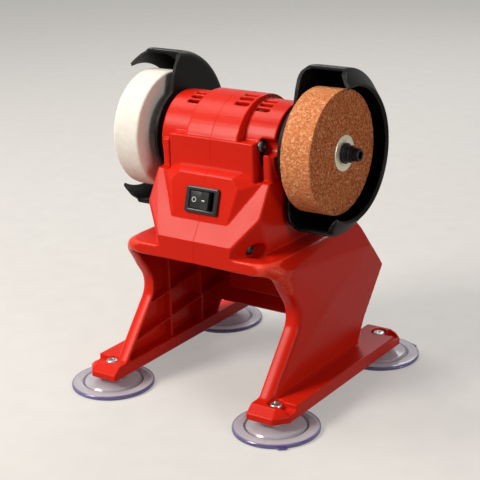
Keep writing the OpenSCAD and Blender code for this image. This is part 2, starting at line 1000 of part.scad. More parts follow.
// Round nut with a collar and two grip grooves
module right_nut() {
    r = nut_d / 2;
    groove = 0.5;
    color("#2A2A2B")
        turned()
            polygon([
                [shaft_r + seat_gap, washer_out],
                [r + 1, washer_out],
                [r + 1, washer_out + 1.4],
                [r, washer_out + 1.8],
                [r, washer_out + 2.6],
                [r - groove, washer_out + 2.8],
                [r - groove, washer_out + 3.4],
                [r, washer_out + 3.6],
                [r, nut_out - 1.6],
                [r - groove, nut_out - 1.4],
                [r - groove, nut_out],
                [shaft_r + seat_gap, nut_out]
            ]);
}

// Guards

module guard_section() {
    bend = 6;
    r = guard_r;
    t = guard_wall;
    x = guard_x;
    polygon(concat(
        [[nose_r + seat_gap, x]],
        [for (a = [0 : 15 : 90]) [r - bend + bend * sin(a), x + bend * (1 - cos(a))]],
        [[r, guard_bend_x], [guard_rim_r, guard_rim_x], [guard_rim_r - 0.7 * t, guard_rim_x - 0.7 * t]],
        [[r - t, guard_bend_x - t / 2]],
        [for (a = [90 : -15 : 0])
            [r - bend + (bend - t) * sin(a), x + bend - (bend - t) * cos(a)]],
        [[nose_r + seat_gap, x + t]]
    ));
}

// Edge along which the front is cut away, from the round plate out past the channel
function sweep_edge(sign, turn) = [
    for (i = [0 : 7])
        let (
            f = min(i, 6) / 6,
            a = 118 - 28 * f + turn,
            r = i > 6 ? guard_r + 8 : guard_disc_r - 1 + (guard_r - 1 - guard_disc_r) * (1 - cos(180 * f)) / 2
        )
        [r * cos(a), sign * r * sin(a)]
];

module guard(side) {
    low = sweep_edge(-1, guard_tail);
    color(guard_black)
        at_side(side)
            difference() {
                turned()
                    guard_section();
                along_x(guard_x - 1, guard_rim_x + 1)
                    translate([0, axis_z])
                        difference() {
                            polygon(concat([[0, 0]], sweep_edge(1, -guard_lead), [[-70, 70], [-70, -70]],
                                [for (i = [7 : -1 : 0]) low[i]]));
                            circle(r = guard_disc_r);
                        }
                for (a = [45, 135, 225, 315])
                    rod_x(guard_x - 1, guard_x + guard_wall + 1, guard_screw_d / 2 + 0.2,
                        [guard_screw_r * cos(a), axis_z + guard_screw_r * sin(a)]);
            }
}

module guard_screws() {
    color(steel)
        for (side = [-1, 1], a = [45, 135, 225, 315])
            at_side(side) {
                at = [guard_screw_r * cos(a), axis_z + guard_screw_r * sin(a)];
                rod_x(guard_x - 5.5, guard_x + guard_wall, guard_screw_d / 2, at);
                rod_x(guard_x + guard_wall, guard_x + guard_wall + 1.8, 3, at);
            }
}

// Suction cups

module cup(sx, sy, tab_angle) {
    neck_r = 7;
    cavity_r = cup_r - 3;
    lip = 2.8;
    step_z = 3.7;
    color("#DCD8EE", 0.6)
        translate([sx * cup_x, sy * cup_y, 0])
            difference() {
                union() {
                    rotate_extrude($fn = 72)
                        polygon([
                            [0, 0], [cup_r - 0.6, 0], [cup_r, 0.6], [cup_r, lip - 0.7], [cup_r - 0.7, lip],
                            [cup_step_r + 0.9, lip + 0.3], [cup_step_r + 0.2, lip - 0.6], [cup_step_r - 0.5, step_z],
                            [neck_r + 2, step_z + 0.7], [neck_r, foot_z - 3], [neck_r, foot_z - seat_gap],
                            [0, foot_z - seat_gap]
                        ]);
                    // Tab for letting the air in
                    rotate(tab_angle)
                        translate([cup_r - 1, -3, 0.4])
                            cube([3, 6, 1]);
                }
                // Flat dome underneath
                translate([0, 0, -1])
                    cylinder(h = 1.8, r1 = cavity_r + 1, r2 = cavity_r - 4);
                translate([0, 0, foot_z - 6])
                    cylinder(h = 8, d = foot_screw_d + 2 * seat_gap);
            }
}

module foot_screws() {
    color(steel)
        for (sx = [-1, 1], sy = [-1, 1])
            translate([sx * cup_x, sy * cup_y, 0]) {
                translate([0, 0, foot_z - 5.8])
                    cylinder(h = foot_seat - foot_z + 6, d = foot_screw_d);
                difference() {
                    translate([0, 0, foot_seat])
                        cylinder(h = foot_head_h, r = foot_head_r);
                    for (q = [0, 90])
                        translate([0, 0, foot_seat + foot_head_h])
                            rotate(q)
                                cube([4.4, 1, 2], center = true);
                }
            }
}

// Battery

// Side outline of the pack, following the rear wall
pack_side = [
    [pack_y, pack_low],
    rear_low + ([bulge_y, bulge_z] - rear_low) * (pack_low - rear_low[1]) / (bulge_z - rear_low[1]),
    [bulge_y, bulge_z],
    deck_rear + ([bulge_y, bulge_z] - deck_rear) * (pack_top - deck_rear[1]) / (bulge_z - deck_rear[1]),
    [pack_y, pack_top]
];
base_t = 3;
cell_z = bulge_z - 0.2;
slope_dir = unit([bulge_y, bulge_z] - deck_rear);
slope_out = [-slope_dir[1], slope_dir[0]];
latch_mid = (pack_side[2] + pack_side[3]) / 2;
latch_depth = 3.6;
latch_floor = 1;
block_half_x = 15;
block_low = 54;
block_top = 68;
block_l = 7;

// Local frame of the release button: x across, y up the slope, z out of the pack
module on_latch() {
    translate([0, latch_mid[0], latch_mid[1]])
        rotate([-atan2(slope_out[0], slope_out[1]), 0, 0])
            children();
}

module battery_shell() {
    inner = inset(pack_side, [pack_wall, pack_wall, latch_floor + latch_depth, pack_wall, -1]);
    color("#232326")
        difference() {
            along_x(-pack_x, pack_x)
                polygon(pack_side);
            along_x(-pack_x + pack_wall, pack_x - pack_wall)
                polygon(inner);
            // Seat of the base plate
            translate([-pack_x + pack_wall / 2, pack_y - 1, pack_low + pack_wall / 2])
                cube([2 * pack_x - pack_wall, base_t + 1, pack_top - pack_low - pack_wall]);
            on_latch()
                translate([-latch_w / 2 - move_gap, -latch_l / 2 - move_gap, -latch_depth])
                    cube([latch_w + 2 * move_gap, latch_l + 2 * move_gap, 10]);
        }
}

module battery_base() {
    color("#2C2C30")
        difference() {
            translate([-pack_x + pack_wall / 2 + seat_gap, pack_y, pack_low + pack_wall / 2 + seat_gap])
                cube([2 * pack_x - pack_wall - 2 * seat_gap, base_t,
                    pack_top - pack_low - pack_wall - 2 * seat_gap]);
            translate([-block_half_x - move_gap, pack_y - 1, block_low - move_gap])
                cube([2 * (block_half_x + move_gap), base_t + 2, block_top - block_low + 2 * move_gap]);
        }
}

// Two rows of two cells, each with a raised end contact
module battery_cells() {
    r = cell_d / 2;
    at_y = pack_y + base_t + r + 0.1;
    color("#3E6FA8")
        for (z = [-1, 1], s = [-1, 1])
            at_side(s) {
                rod_x(0.2, cell_l - 0.8, r, [at_y, cell_z + z * (r + 0.05)]);
                rod_x(cell_l - 1, cell_l, 3, [at_y, cell_z + z * (r + 0.05)]);
            }
}

module battery_latch() {
    depth = latch_depth - latch_travel - 0.2;
    color("#101012")
        on_latch()
            difference() {
                translate([-latch_w / 2, -latch_l / 2, -depth])
                    cube([latch_w, latch_l, depth]);
                for (y = [-2.4, 0, 2.4])
                    translate([-latch_w / 2 + 2, y - 0.4, -0.6])
                        cube([latch_w - 4, 0.8, 1]);
            }
}

// Contact block on the front wall of the bay
module battery_terminals() {
    color("#2C2C30")
        translate([-block_half_x, pack_y - 0.5, block_low])
            cube([2 * block_half_x, base_t, block_top - block_low]);
}

left_shell();
right_shell();
shell_screws();
switch_housing();
switch_rocker();
switch_terminals();
motor_can();
motor_end_bell();
motor_magnets();
motor_brushes();
armature_core();
armature_coils();
commutator();
cooling_fan();
spindle_shaft();
bearing_outer(-1);  // left_bearing_outer
bearing_outer(1);  // right_bearing_outer
bearing_inner(-1);  // left_bearing_inner
bearing_inner(1);  // right_bearing_inner
bearing_balls(-1);  // left_bearing_balls
bearing_balls(1);  // right_bearing_balls
arbor_sleeve(-1);  // left_arbor_sleeve
arbor_sleeve(1);  // right_arbor_sleeve
felt_wheel();
grinding_wheel();
washer(-1);  // left_washer
washer(1);  // right_washer
left_nut();
right_nut();
guard(-1);  // left_guard
guard(1);  // right_guard
guard_screws();
cup(-1, -1, 120);  // cup_front_left
cup(1, -1, -50);  // cup_front_right
cup(-1, 1, 120);  // cup_rear_left
cup(1, 1, 60);  // cup_rear_right
foot_screws();
battery_shell();
battery_base();
battery_cells();
battery_latch();
battery_terminals();
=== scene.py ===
import math
import bmesh
import bpy
import numpy as np
from mathutils import Matrix, Vector, noise
from mathutils.bvhtree import BVHTree


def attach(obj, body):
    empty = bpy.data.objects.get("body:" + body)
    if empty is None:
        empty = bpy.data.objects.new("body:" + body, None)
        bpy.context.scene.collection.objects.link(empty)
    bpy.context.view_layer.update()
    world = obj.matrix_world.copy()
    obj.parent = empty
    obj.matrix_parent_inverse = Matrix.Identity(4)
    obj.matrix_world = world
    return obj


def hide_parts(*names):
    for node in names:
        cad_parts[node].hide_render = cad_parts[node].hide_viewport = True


# Cordless bench grinder, in metres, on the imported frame: X along the spindle, the switch faces -Y.
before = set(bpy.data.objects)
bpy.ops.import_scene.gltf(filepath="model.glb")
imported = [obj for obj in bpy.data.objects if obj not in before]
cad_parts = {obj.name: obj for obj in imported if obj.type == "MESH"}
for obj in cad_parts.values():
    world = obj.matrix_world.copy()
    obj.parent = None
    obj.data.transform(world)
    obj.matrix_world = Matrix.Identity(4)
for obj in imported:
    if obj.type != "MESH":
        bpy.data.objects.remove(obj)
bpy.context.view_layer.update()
scene = bpy.context.scene
mm = 0.001
# sizes in mm that several pieces share: the spindle's height, the wheels' radius, and where the feet stand
axisZ, wheelRadius, footX, footY = 155.0, 37.5, 62.2, 62.6
print("frame loaded:", len(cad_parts), "nodes")


def linear(hexCode):
    parts = [int(hexCode[i:i + 2], 16) / 255 for i in (1, 3, 5)]
    return tuple(p / 12.92 if p <= 0.04045 else ((p + 0.055) / 1.055) ** 2.4 for p in parts) + (1.0,)


def addNode(tree, kind, inputs=None, **settings):
    node = tree.nodes.new(kind)
    for key, value in settings.items():
        setattr(node, key, value)
    for key, value in (inputs or {}).items():
        if isinstance(value, bpy.types.NodeSocket):
            tree.links.new(value, node.inputs[key])
        else:
            node.inputs[key].default_value = value
    return node


# camera, fitted to the photograph, in degrees, mm and pixels
cameraFit = {
    "azimuth": 34.92, "elevation": 18.82, "distance": 847.67, "target": (-3.5, 0.0, 88.31),
    "focalPixels": 1338.4, "imagePixels": 480, "roll": -1.81, "sensor": 36.0, "clip": (0.05, 60.0),
}


def makeCamera(fit):
    a, e, roll = (math.radians(fit[k]) for k in ("azimuth", "elevation", "roll"))
    back = Vector((math.sin(a) * math.cos(e), -math.cos(a) * math.cos(e), math.sin(e)))
    right = Vector((math.cos(a), math.sin(a), 0))
    up = back.cross(right)
    right, up = right * math.cos(roll) + up * math.sin(roll), up * math.cos(roll) - right * math.sin(roll)
    data = bpy.data.cameras.new("photoCamera")
    data.sensor_width = fit["sensor"]
    data.lens = fit["focalPixels"] / fit["imagePixels"] * fit["sensor"]
    data.clip_start, data.clip_end = fit["clip"]
    camera = bpy.data.objects.new("photoCamera", data)
    scene.collection.objects.link(camera)
    place = Vector(fit["target"]) * mm + back * fit["distance"] * mm
    camera.matrix_world = Matrix((
        (right.x, up.x, back.x, place.x), (right.y, up.y, back.y, place.y),
        (right.z, up.z, back.z, place.z), (0, 0, 0, 1)))
    scene.camera = camera


makeCamera(cameraFit)
print("camera placed")


# light: a soft lamp from the upper left front, one high on the left, a weak fill from the right, one behind
studio = {
    "world": "#EDEEF0", "worldStrength": 0.11, "backdrop": "#C2C1BE",
    "floor": "#DEDCD8", "floorLight": "#E6E4E0", "floorBounce": "#968F86", "floorGlow": 0.45,
    "floorHalf": 9.0, "floorRoughness": 0.75, "rollerMarks": 60.0,  # marks to a metre
    # name, place, aim and size in metres, watts, colour
    "lamps": (
        ("keyLamp", (-0.62, -0.86, 0.90), (0.0, 0.0, 0.10), 0.46, 16.5, "#FFF8EE"),
        ("topLamp", (-0.62, 0.02, 1.25), (0.0, 0.0, 0.12), 0.55, 7.5, "#FFF8F0"),
        ("fillLamp", (1.22, -0.36, 0.52), (0.0, 0.0, 0.09), 0.45, 4.2, "#FFF7EE"),
        ("rimLamp", (-0.30, 1.05, 0.80), (0.0, 0.0, 0.12), 0.45, 2.6, "#FFFFFF"),
    ),
}


def seenDirectly(tree):
    # 1 for what the camera sees, also in a reflection or through the cups
    path = addNode(tree, "ShaderNodeLightPath")
    seen = addNode(tree, "ShaderNodeMath", {0: path.outputs["Is Camera Ray"], 1: path.outputs["Is Glossy Ray"]},
                   operation="MAXIMUM")
    return addNode(tree, "ShaderNodeMath", {0: seen.outputs[0], 1: path.outputs["Is Transmission Ray"]},
                   operation="MAXIMUM").outputs[0]


def makeStudio(s):
    for name, place, aim, size, watts, colour in s["lamps"]:
        data = bpy.data.lights.new(name, "AREA")
        data.size, data.energy, data.color = size, watts, linear(colour)[:3]
        lamp = bpy.data.objects.new(name, data)
        scene.collection.objects.link(lamp)
        lamp.location = place
        lamp.rotation_euler = (Vector(aim) - Vector(place)).to_track_quat("-Z", "Y").to_euler()
    world = bpy.data.worlds.new("studioWorld")
    world.use_nodes = True
    tree = world.node_tree
    tree.nodes.clear()
    glow = addNode(tree, "ShaderNodeBackground", {"Color": linear(s["world"]), "Strength": s["worldStrength"]})
    pale = addNode(tree, "ShaderNodeBackground", {"Color": linear(s["backdrop"]), "Strength": 1.0})
    mix = addNode(tree, "ShaderNodeMixShader", {0: seenDirectly(tree), 1: glow.outputs[0], 2: pale.outputs[0]})
    addNode(tree, "ShaderNodeOutputWorld", {"Surface": mix.outputs[0]})
    scene.world = world
    scene.view_settings.view_transform = "Standard"
    # matt painted floor: plain and pale to the camera, with a barely visible roller texture and a soft shadow
    mat = bpy.data.materials.new("mattFloorPaint")
    mat.use_nodes = True
    tree = mat.node_tree
    tree.nodes.clear()
    where = addNode(tree, "ShaderNodeTexCoord")
    grain = addNode(tree, "ShaderNodeTexNoise", {"Vector": where.outputs["Object"], "Scale": s["rollerMarks"],
                                                 "Detail": 2.0})
    tone = addNode(tree, "ShaderNodeMix", {"Factor": grain.outputs["Fac"], 6: linear(s["floor"]),
                                           7: linear(s["floorLight"])}, data_type="RGBA")
    coat = addNode(tree, "ShaderNodeBsdfPrincipled", {"Base Color": tone.outputs[2],
                                                      "Roughness": s["floorRoughness"]})
    even = addNode(tree, "ShaderNodeEmission", {"Color": tone.outputs[2], "Strength": 1.0})
    shown = addNode(tree, "ShaderNodeMixShader", {0: s["floorGlow"], 1: coat.outputs[0], 2: even.outputs[0]})
    bounce = addNode(tree, "ShaderNodeBsdfDiffuse", {"Color": linear(s["floorBounce"])})
    mix = addNode(tree, "ShaderNodeMixShader", {0: seenDirectly(tree), 1: bounce.outputs[0], 2: shown.outputs[0]})
    addNode(tree, "ShaderNodeOutputMaterial", {"Surface": mix.outputs[0]})
    mesh = bpy.data.meshes.new("studioFloor")
    half = s["floorHalf"]
    mesh.from_pydata([(-half, -half, 0), (half, -half, 0), (half, half, 0), (-half, half, 0)], [], [(0, 1, 2, 3)])
    mesh.materials.append(mat)
    floor = bpy.data.objects.new("studioFloor", mesh)
    scene.collection.objects.link(floor)


makeStudio(studio)
print("studio ready")


# Materials. Each one starts from the real material; patterns are in Object coordinates, one unit a metre.
def startMaterial(name):
    mat = bpy.data.materials.new(name)
    mat.use_nodes = True
    mat.node_tree.nodes.clear()
    return mat, mat.node_tree, addNode(mat.node_tree, "ShaderNodeTexCoord").outputs["Object"]


def endMaterial(mat, tree, shader):
    addNode(tree, "ShaderNodeOutputMaterial", {"Surface": shader.outputs[0]})
    return mat


# shared by the plastics: IOR, spread of the roughness, shine left in corners, and where an edge gets its lighter line
# of wear and painted highlight
plasticBase = {"ior": 1.5, "roughSpread": 0.04, "cornerShine": 0.15, "rubAndLightFrom": 0.05, "rubAndLightTo": 0.6}


def mouldedPlastic(name, own):
    # moulded plastic: even colour with slow flow marks, a fine eroded grain, edges lightened with wear and painted
    # highlight, and corners darkened with painted shade
    # mould grain under 0.2 mm would not show in the render, so it is drawn a little coarser
    p = {**plasticBase, **own}
    mat, tree, where = startMaterial(name)
    flow = addNode(tree, "ShaderNodeTexNoise", {"Vector": where, "Scale": 1 / (p["flow"] * mm), "Detail": 3.0,
                                                "Roughness": 0.5})
    grain = addNode(tree, "ShaderNodeTexNoise", {"Vector": where, "Scale": 1 / (p["grain"] * mm), "Detail": 2.0,
                                                 "Roughness": 0.6})
    body = addNode(tree, "ShaderNodeMix", {"Factor": flow.outputs["Fac"], 6: linear(p["dark"]),
                                           7: linear(p["light"])}, data_type="RGBA")
    # "rounding" is written on the mesh: above zero on outer edges, below zero in corners
    rounding = addNode(tree, "ShaderNodeAttribute", attribute_name="rounding")
    # the lighter line on outer edges is partly wear and partly painted highlight, broken up by noise
    broken = addNode(tree, "ShaderNodeTexNoise", {"Vector": where, "Scale": 1 / (p["wearAndHighlightPatch"] * mm), "Detail": 4.0})
    rubbedAndLit = addNode(tree, "ShaderNodeMath", {0: rounding.outputs["Fac"], 1: broken.outputs["Fac"]},
                     operation="MULTIPLY")
    rubbedAndLit = addNode(tree, "ShaderNodeMapRange", {"Value": rubbedAndLit.outputs[0], "From Min": p["rubAndLightFrom"],
                                                  "From Max": p["rubAndLightTo"], "To Min": 0.0, "To Max": p["wearAndHighlightShare"]})
    wornAndLit = addNode(tree, "ShaderNodeMix", {"Factor": rubbedAndLit.outputs[0], 6: body.outputs[2],
                                           7: linear(p["edge"])}, data_type="RGBA")
    # corners take the darker corner colour: painted shade
    shade = addNode(tree, "ShaderNodeMapRange", {"Value": rounding.outputs["Fac"], "From Min": -1.0,
                                                 "From Max": 0.0, "To Min": p["cornerShadeShare"], "To Max": 0.0})
    paintedShade = addNode(tree, "ShaderNodeMix", {"Factor": shade.outputs[0], 6: wornAndLit.outputs[2],
                                           7: linear(p["corner"])}, data_type="RGBA")
    rough = addNode(tree, "ShaderNodeMapRange", {
        "Value": flow.outputs["Fac"], "From Min": 0.3, "From Max": 0.7,
        "To Min": p["roughness"] - p["roughSpread"], "To Max": p["roughness"] + p["roughSpread"]})
    bump = addNode(tree, "ShaderNodeBump", {"Height": grain.outputs["Fac"], "Strength": p["bump"],
                                            "Distance": p["grain"] * mm * 0.1})
    # corners hold dust and lose their shine
    shine = addNode(tree, "ShaderNodeMapRange", {
        "Value": rounding.outputs["Fac"], "From Min": -0.5, "From Max": 0.0,
        "To Min": p["specular"] * p["cornerShine"], "To Max": p["specular"]})
    shader = addNode(tree, "ShaderNodeBsdfPrincipled", {
        "Base Color": paintedShade.outputs[2], "Roughness": rough.outputs[0], "Normal": bump.outputs[0], "IOR": p["ior"],
        "Specular IOR Level": shine.outputs[0]})
    return endMaterial(mat, tree, shader)


# shared by the metals, unless one has its own
steelBase = {"axis": axisZ, "rings": False, "metallic": 1.0, "roughSpread": 0.06, "toolDepth": 0.02}


def finishedSteel(name, own):
    # turned, plated or ground metal: fine tool rings round the spindle or a random brushing, with soft tarnish
    # tool marks of 0.1 mm would not show in the render, so their spacing is coarser
    p = {**steelBase, **own}
    mat, tree, where = startMaterial(name)
    turn = addNode(tree, "ShaderNodeMapping", {"Vector": where, "Location": (0, 0, -p["axis"] * mm)})
    if p["rings"]:
        # the wave node turns through 20 radians in a unit of its scale
        lines = addNode(tree, "ShaderNodeTexWave", {"Vector": turn.outputs[0], "Scale": 1 / (p["spacing"] * mm) / 20,
                                                    "Distortion": 0.4, "Detail": 2.0},
                        wave_type="RINGS", rings_direction="X")
    else:
        lines = addNode(tree, "ShaderNodeTexNoise", {"Vector": turn.outputs[0], "Scale": 1 / (p["spacing"] * mm),
                                                     "Detail": 4.0})
    tarnish = addNode(tree, "ShaderNodeTexNoise", {"Vector": where, "Scale": 1 / (p["patch"] * mm), "Detail": 3.0})
    tint = addNode(tree, "ShaderNodeMix", {"Factor": tarnish.outputs["Fac"], 6: linear(p["dark"]),
                                           7: linear(p["light"])}, data_type="RGBA")
    rough = addNode(tree, "ShaderNodeMapRange", {
        "Value": lines.outputs["Fac"], "To Min": p["roughness"] - p["roughSpread"],
        "To Max": p["roughness"] + p["roughSpread"]})
    bump = addNode(tree, "ShaderNodeBump", {"Height": lines.outputs["Fac"], "Strength": p["bump"],
                                            "Distance": p["toolDepth"] * mm})
    shader = addNode(tree, "ShaderNodeBsdfPrincipled", {
        "Base Color": tint.outputs[2], "Metallic": p["metallic"], "Roughness": rough.outputs[0],
        "Normal": bump.outputs[0]})
    return endMaterial(mat, tree, shader)


def vitrifiedGrit():
    # fused brown alumina in a fired bond: grains from dark rust to pale sand, dull, with open pores
    # grit of 0.3 mm would not show in the render, so the grains are drawn three times as coarse
    p = {"grain": 0.95, "speck": 0.7, "patch": 9.0, "dark": "#743319", "light": "#F2BC8E",
         "tones": ((0.25, "#A85630"), (0.58, "#CB7040"), (0.84, "#DC8E5C")), "warm": "#CE7648",
         "poreShade": "#54240F", "poreShadeShare": 0.75, "poreDepth": 0.25, "bump": 0.7, "freshAndLit": "#905636",
         "roughness": 0.88, "specular": 0.25}
    mat, tree, where = startMaterial("vitrifiedBrownAlumina")
    cells = addNode(tree, "ShaderNodeTexVoronoi", {"Vector": where, "Scale": 1 / (p["grain"] * mm)})
    pick = addNode(tree, "ShaderNodeSeparateColor", {"Color": cells.outputs["Color"]})
    tones = addNode(tree, "ShaderNodeValToRGB", {"Fac": pick.outputs[0]})
    ramp = tones.color_ramp
    ramp.elements[0].position, ramp.elements[0].color = 0.0, linear(p["dark"])
    ramp.elements[1].position, ramp.elements[1].color = 1.0, linear(p["light"])
    for at, tone in p["tones"]:
        ramp.elements.new(at).color = linear(tone)
    patch = addNode(tree, "ShaderNodeTexNoise", {"Vector": where, "Scale": 1 / (p["patch"] * mm), "Detail": 4.0})
    even = addNode(tree, "ShaderNodeMapRange", {"Value": patch.outputs["Fac"], "To Min": 0.1, "To Max": 0.45})
    warm = addNode(tree, "ShaderNodeMix", {"Factor": even.outputs[0], 6: tones.outputs[0],
                                           7: linear(p["warm"])}, data_type="RGBA")
    pores = addNode(tree, "ShaderNodeTexNoise", {"Vector": where, "Scale": 1 / (p["speck"] * mm), "Detail": 3.0,
                                                 "Roughness": 0.7})
    # the pores are darkened with painted shade
    dark = addNode(tree, "ShaderNodeMapRange", {"Value": pores.outputs["Fac"], "From Min": 0.34, "From Max": 0.46,
                                                "To Min": p["poreShadeShare"], "To Max": 0.0})
    colour = addNode(tree, "ShaderNodeMix", {"Factor": dark.outputs[0], 6: warm.outputs[2],
                                             7: linear(p["poreShade"])}, data_type="RGBA")
    # the trued rim is paler than the sides: partly fresh grit, partly painted light
    split = addNode(tree, "ShaderNodeSeparateXYZ", {"Vector": where})
    up = addNode(tree, "ShaderNodeMath", {0: split.outputs["Z"], 1: axisZ * mm}, operation="SUBTRACT")
    turn = addNode(tree, "ShaderNodeCombineXYZ", {"Y": split.outputs["Y"], "Z": up.outputs[0]})
    away = addNode(tree, "ShaderNodeVectorMath", {0: turn.outputs[0]}, operation="LENGTH")
    trued = addNode(tree, "ShaderNodeMapRange", {"Value": away.outputs["Value"], "From Min": (wheelRadius - 0.5) * mm,
                                                 "From Max": (wheelRadius - 0.15) * mm})
    freshAndLit = addNode(tree, "ShaderNodeMix", {"Factor": 1.0, 6: colour.outputs[2], 7: linear(p["freshAndLit"])},
                    data_type="RGBA", blend_type="SCREEN")
    shown = addNode(tree, "ShaderNodeMix", {"Factor": trued.outputs[0], 6: colour.outputs[2], 7: freshAndLit.outputs[2]},
                    data_type="RGBA")
    bump = addNode(tree, "ShaderNodeBump", {"Height": pores.outputs["Fac"], "Strength": p["bump"],
                                            "Distance": p["poreDepth"] * mm})
    shader = addNode(tree, "ShaderNodeBsdfPrincipled", {
        "Base Color": shown.outputs[2], "Roughness": p["roughness"], "Normal": bump.outputs[0],
        "Specular IOR Level": p["specular"]})
    return endMaterial(mat, tree, shader)


def woolFelt():
    # pressed white wool: matted fibres, soft sheen, a little cream in the shade
    # single fibres would not show in the render, so tufts of half a millimetre stand for them
    p = {"fibre": 0.5, "mat": 4.0, "light": "#F7F5F0", "dark": "#ECE9E0", "bump": 0.5, "tuft": 0.3,
         "roughness": 0.95, "specular": 0.15, "sheen": 0.3, "sheenRoughness": 0.5}
    mat, tree, where = startMaterial("pressedWoolFelt")
    matting = addNode(tree, "ShaderNodeTexNoise", {"Vector": where, "Scale": 1 / (p["mat"] * mm), "Detail": 5.0})
    fibre = addNode(tree, "ShaderNodeTexNoise", {"Vector": where, "Scale": 1 / (p["fibre"] * mm), "Detail": 4.0,
                                                 "Distortion": 1.6})
    mixed = addNode(tree, "ShaderNodeMath", {0: matting.outputs["Fac"], 1: fibre.outputs["Fac"]},
                    operation="MULTIPLY")
    spread = addNode(tree, "ShaderNodeMapRange", {"Value": mixed.outputs[0], "From Min": 0.1, "From Max": 0.4})
    colour = addNode(tree, "ShaderNodeMix", {"Factor": spread.outputs[0], 6: linear(p["dark"]),
                                             7: linear(p["light"])}, data_type="RGBA")
    bump = addNode(tree, "ShaderNodeBump", {"Height": fibre.outputs["Fac"], "Strength": p["bump"],
                                            "Distance": p["tuft"] * mm})
    shader = addNode(tree, "ShaderNodeBsdfPrincipled", {
        "Base Color": colour.outputs[2], "Roughness": p["roughness"], "Normal": bump.outputs[0],
        "Specular IOR Level": p["specular"], "Sheen Weight": p["sheen"], "Sheen Roughness": p["sheenRoughness"]})
    return endMaterial(mat, tree, shader)


def clearVinyl():
    # plasticised clear PVC: milky from handling, soft gloss, violet along the thick rim, painted shade in the ring
    # groove
    p = {"haze": 14.0, "roughness": 0.16, "tint": "#ECE9F0", "deep": "#E2DDE8", "rim": "#6F67B0", "paintedShade": "#4C485C",
         "centre": (footX, footY), "rimFrom": 25.0, "rimTo": 26.3, "groove": 18.8, "grooveFull": 0.2,
         "grooveHalf": 0.75, "grooveShadeShare": 0.85, "smoother": 0.04, "rougher": 0.06, "ior": 1.53, "clear": 0.62}
    mat, tree, where = startMaterial("clearSoftPvc")
    haze = addNode(tree, "ShaderNodeTexNoise", {"Vector": where, "Scale": 1 / (p["haze"] * mm), "Detail": 4.0})
    tint = addNode(tree, "ShaderNodeMix", {"Factor": haze.outputs["Fac"], 6: linear(p["tint"]),
                                           7: linear(p["deep"])}, data_type="RGBA")
    # distance from the middle of the nearest cup
    quarter = addNode(tree, "ShaderNodeVectorMath", {0: where}, operation="ABSOLUTE")
    flat = addNode(tree, "ShaderNodeVectorMath", {0: quarter.outputs[0], 1: (1, 1, 0)}, operation="MULTIPLY")
    away = addNode(tree, "ShaderNodeVectorMath", {0: flat.outputs[0], 1: tuple(c * mm for c in p["centre"]) + (0,)},
                   operation="DISTANCE")
    rim = addNode(tree, "ShaderNodeMapRange", {"Value": away.outputs["Value"], "From Min": p["rimFrom"] * mm,
                                               "From Max": p["rimTo"] * mm})
    edged = addNode(tree, "ShaderNodeMix", {"Factor": rim.outputs[0], 6: tint.outputs[2], 7: linear(p["rim"])},
                    data_type="RGBA")
    # the ring groove is darkened with painted shade
    off = addNode(tree, "ShaderNodeMath", {0: away.outputs["Value"], 1: p["groove"] * mm}, operation="SUBTRACT")
    off = addNode(tree, "ShaderNodeMath", {0: off.outputs[0]}, operation="ABSOLUTE")
    held = addNode(tree, "ShaderNodeMapRange", {
        "Value": off.outputs[0], "From Min": p["grooveFull"] * mm, "From Max": p["grooveHalf"] * mm,
        "To Min": p["grooveShadeShare"], "To Max": 0.0})
    colour = addNode(tree, "ShaderNodeMix", {"Factor": held.outputs[0], 6: edged.outputs[2], 7: linear(p["paintedShade"])},
                     data_type="RGBA")
    rough = addNode(tree, "ShaderNodeMapRange", {
        "Value": haze.outputs["Fac"], "From Min": 0.3, "From Max": 0.7,
        "To Min": p["roughness"] - p["smoother"], "To Max": p["roughness"] + p["rougher"]})
    shader = addNode(tree, "ShaderNodeBsdfPrincipled", {
        "Base Color": colour.outputs[2], "Roughness": rough.outputs[0], "IOR": p["ior"],
        "Transmission Weight": p["clear"]})
    return endMaterial(mat, tree, shader)


redAbs = mouldedPlastic("redMouldedAbs", {  # body: satin red, paler along the edges with wear and painted highlight
    "flow": 38.0, "grain": 0.45, "wearAndHighlightPatch": 2.2, "dark": "#CE1B0C", "light": "#DA2611", "edge": "#F2604A",
    "wearAndHighlightShare": 0.5, "corner": "#8E0F06", "cornerShadeShare": 0.35, "roughness": 0.3, "bump": 0.2, "specular": 0.12})
blackNylon = mouldedPlastic("blackFilledNylon", {  # guards: near black, half matt, grey along the edges with rubbing and painted highlight
    "flow": 30.0, "grain": 0.5, "wearAndHighlightPatch": 2.0, "dark": "#0A0A0B", "light": "#0F0F10", "edge": "#8C8C90",
    "wearAndHighlightShare": 0.75, "corner": "#070708", "cornerShadeShare": 0.3, "roughness": 0.46, "bump": 0.16, "specular": 0.14})
blackGloss = mouldedPlastic("blackSwitchNylon", {  # switch and latch: black with a soft gloss
    "flow": 12.0, "grain": 0.35, "wearAndHighlightPatch": 1.2, "dark": "#121214", "light": "#1A1A1D", "edge": "#56565C",
    "wearAndHighlightShare": 0.5, "corner": "#08080A", "cornerShadeShare": 0.3, "roughness": 0.33, "bump": 0.06, "specular": 0.45})
packNylon = mouldedPlastic("darkGlassNylon", {  # battery case and inner mouldings: charcoal, matt
    "flow": 26.0, "grain": 0.55, "wearAndHighlightPatch": 2.0, "dark": "#202023", "light": "#29292D", "edge": "#55555A",
    "wearAndHighlightShare": 0.5, "corner": "#0E0E10", "cornerShadeShare": 0.3, "roughness": 0.5, "bump": 0.2, "specular": 0.4})
whitePaint = mouldedPlastic("whitePadPrint", {  # marks on the rocker: dull white
    "flow": 6.0, "grain": 0.3, "wearAndHighlightPatch": 0.6, "dark": "#D9D9D6", "light": "#E9E9E6", "edge": "#F4F4F2",
    "wearAndHighlightShare": 0.2, "corner": "#B0B0AC", "cornerShadeShare": 0.1, "roughness": 0.6, "bump": 0.05, "specular": 0.3})
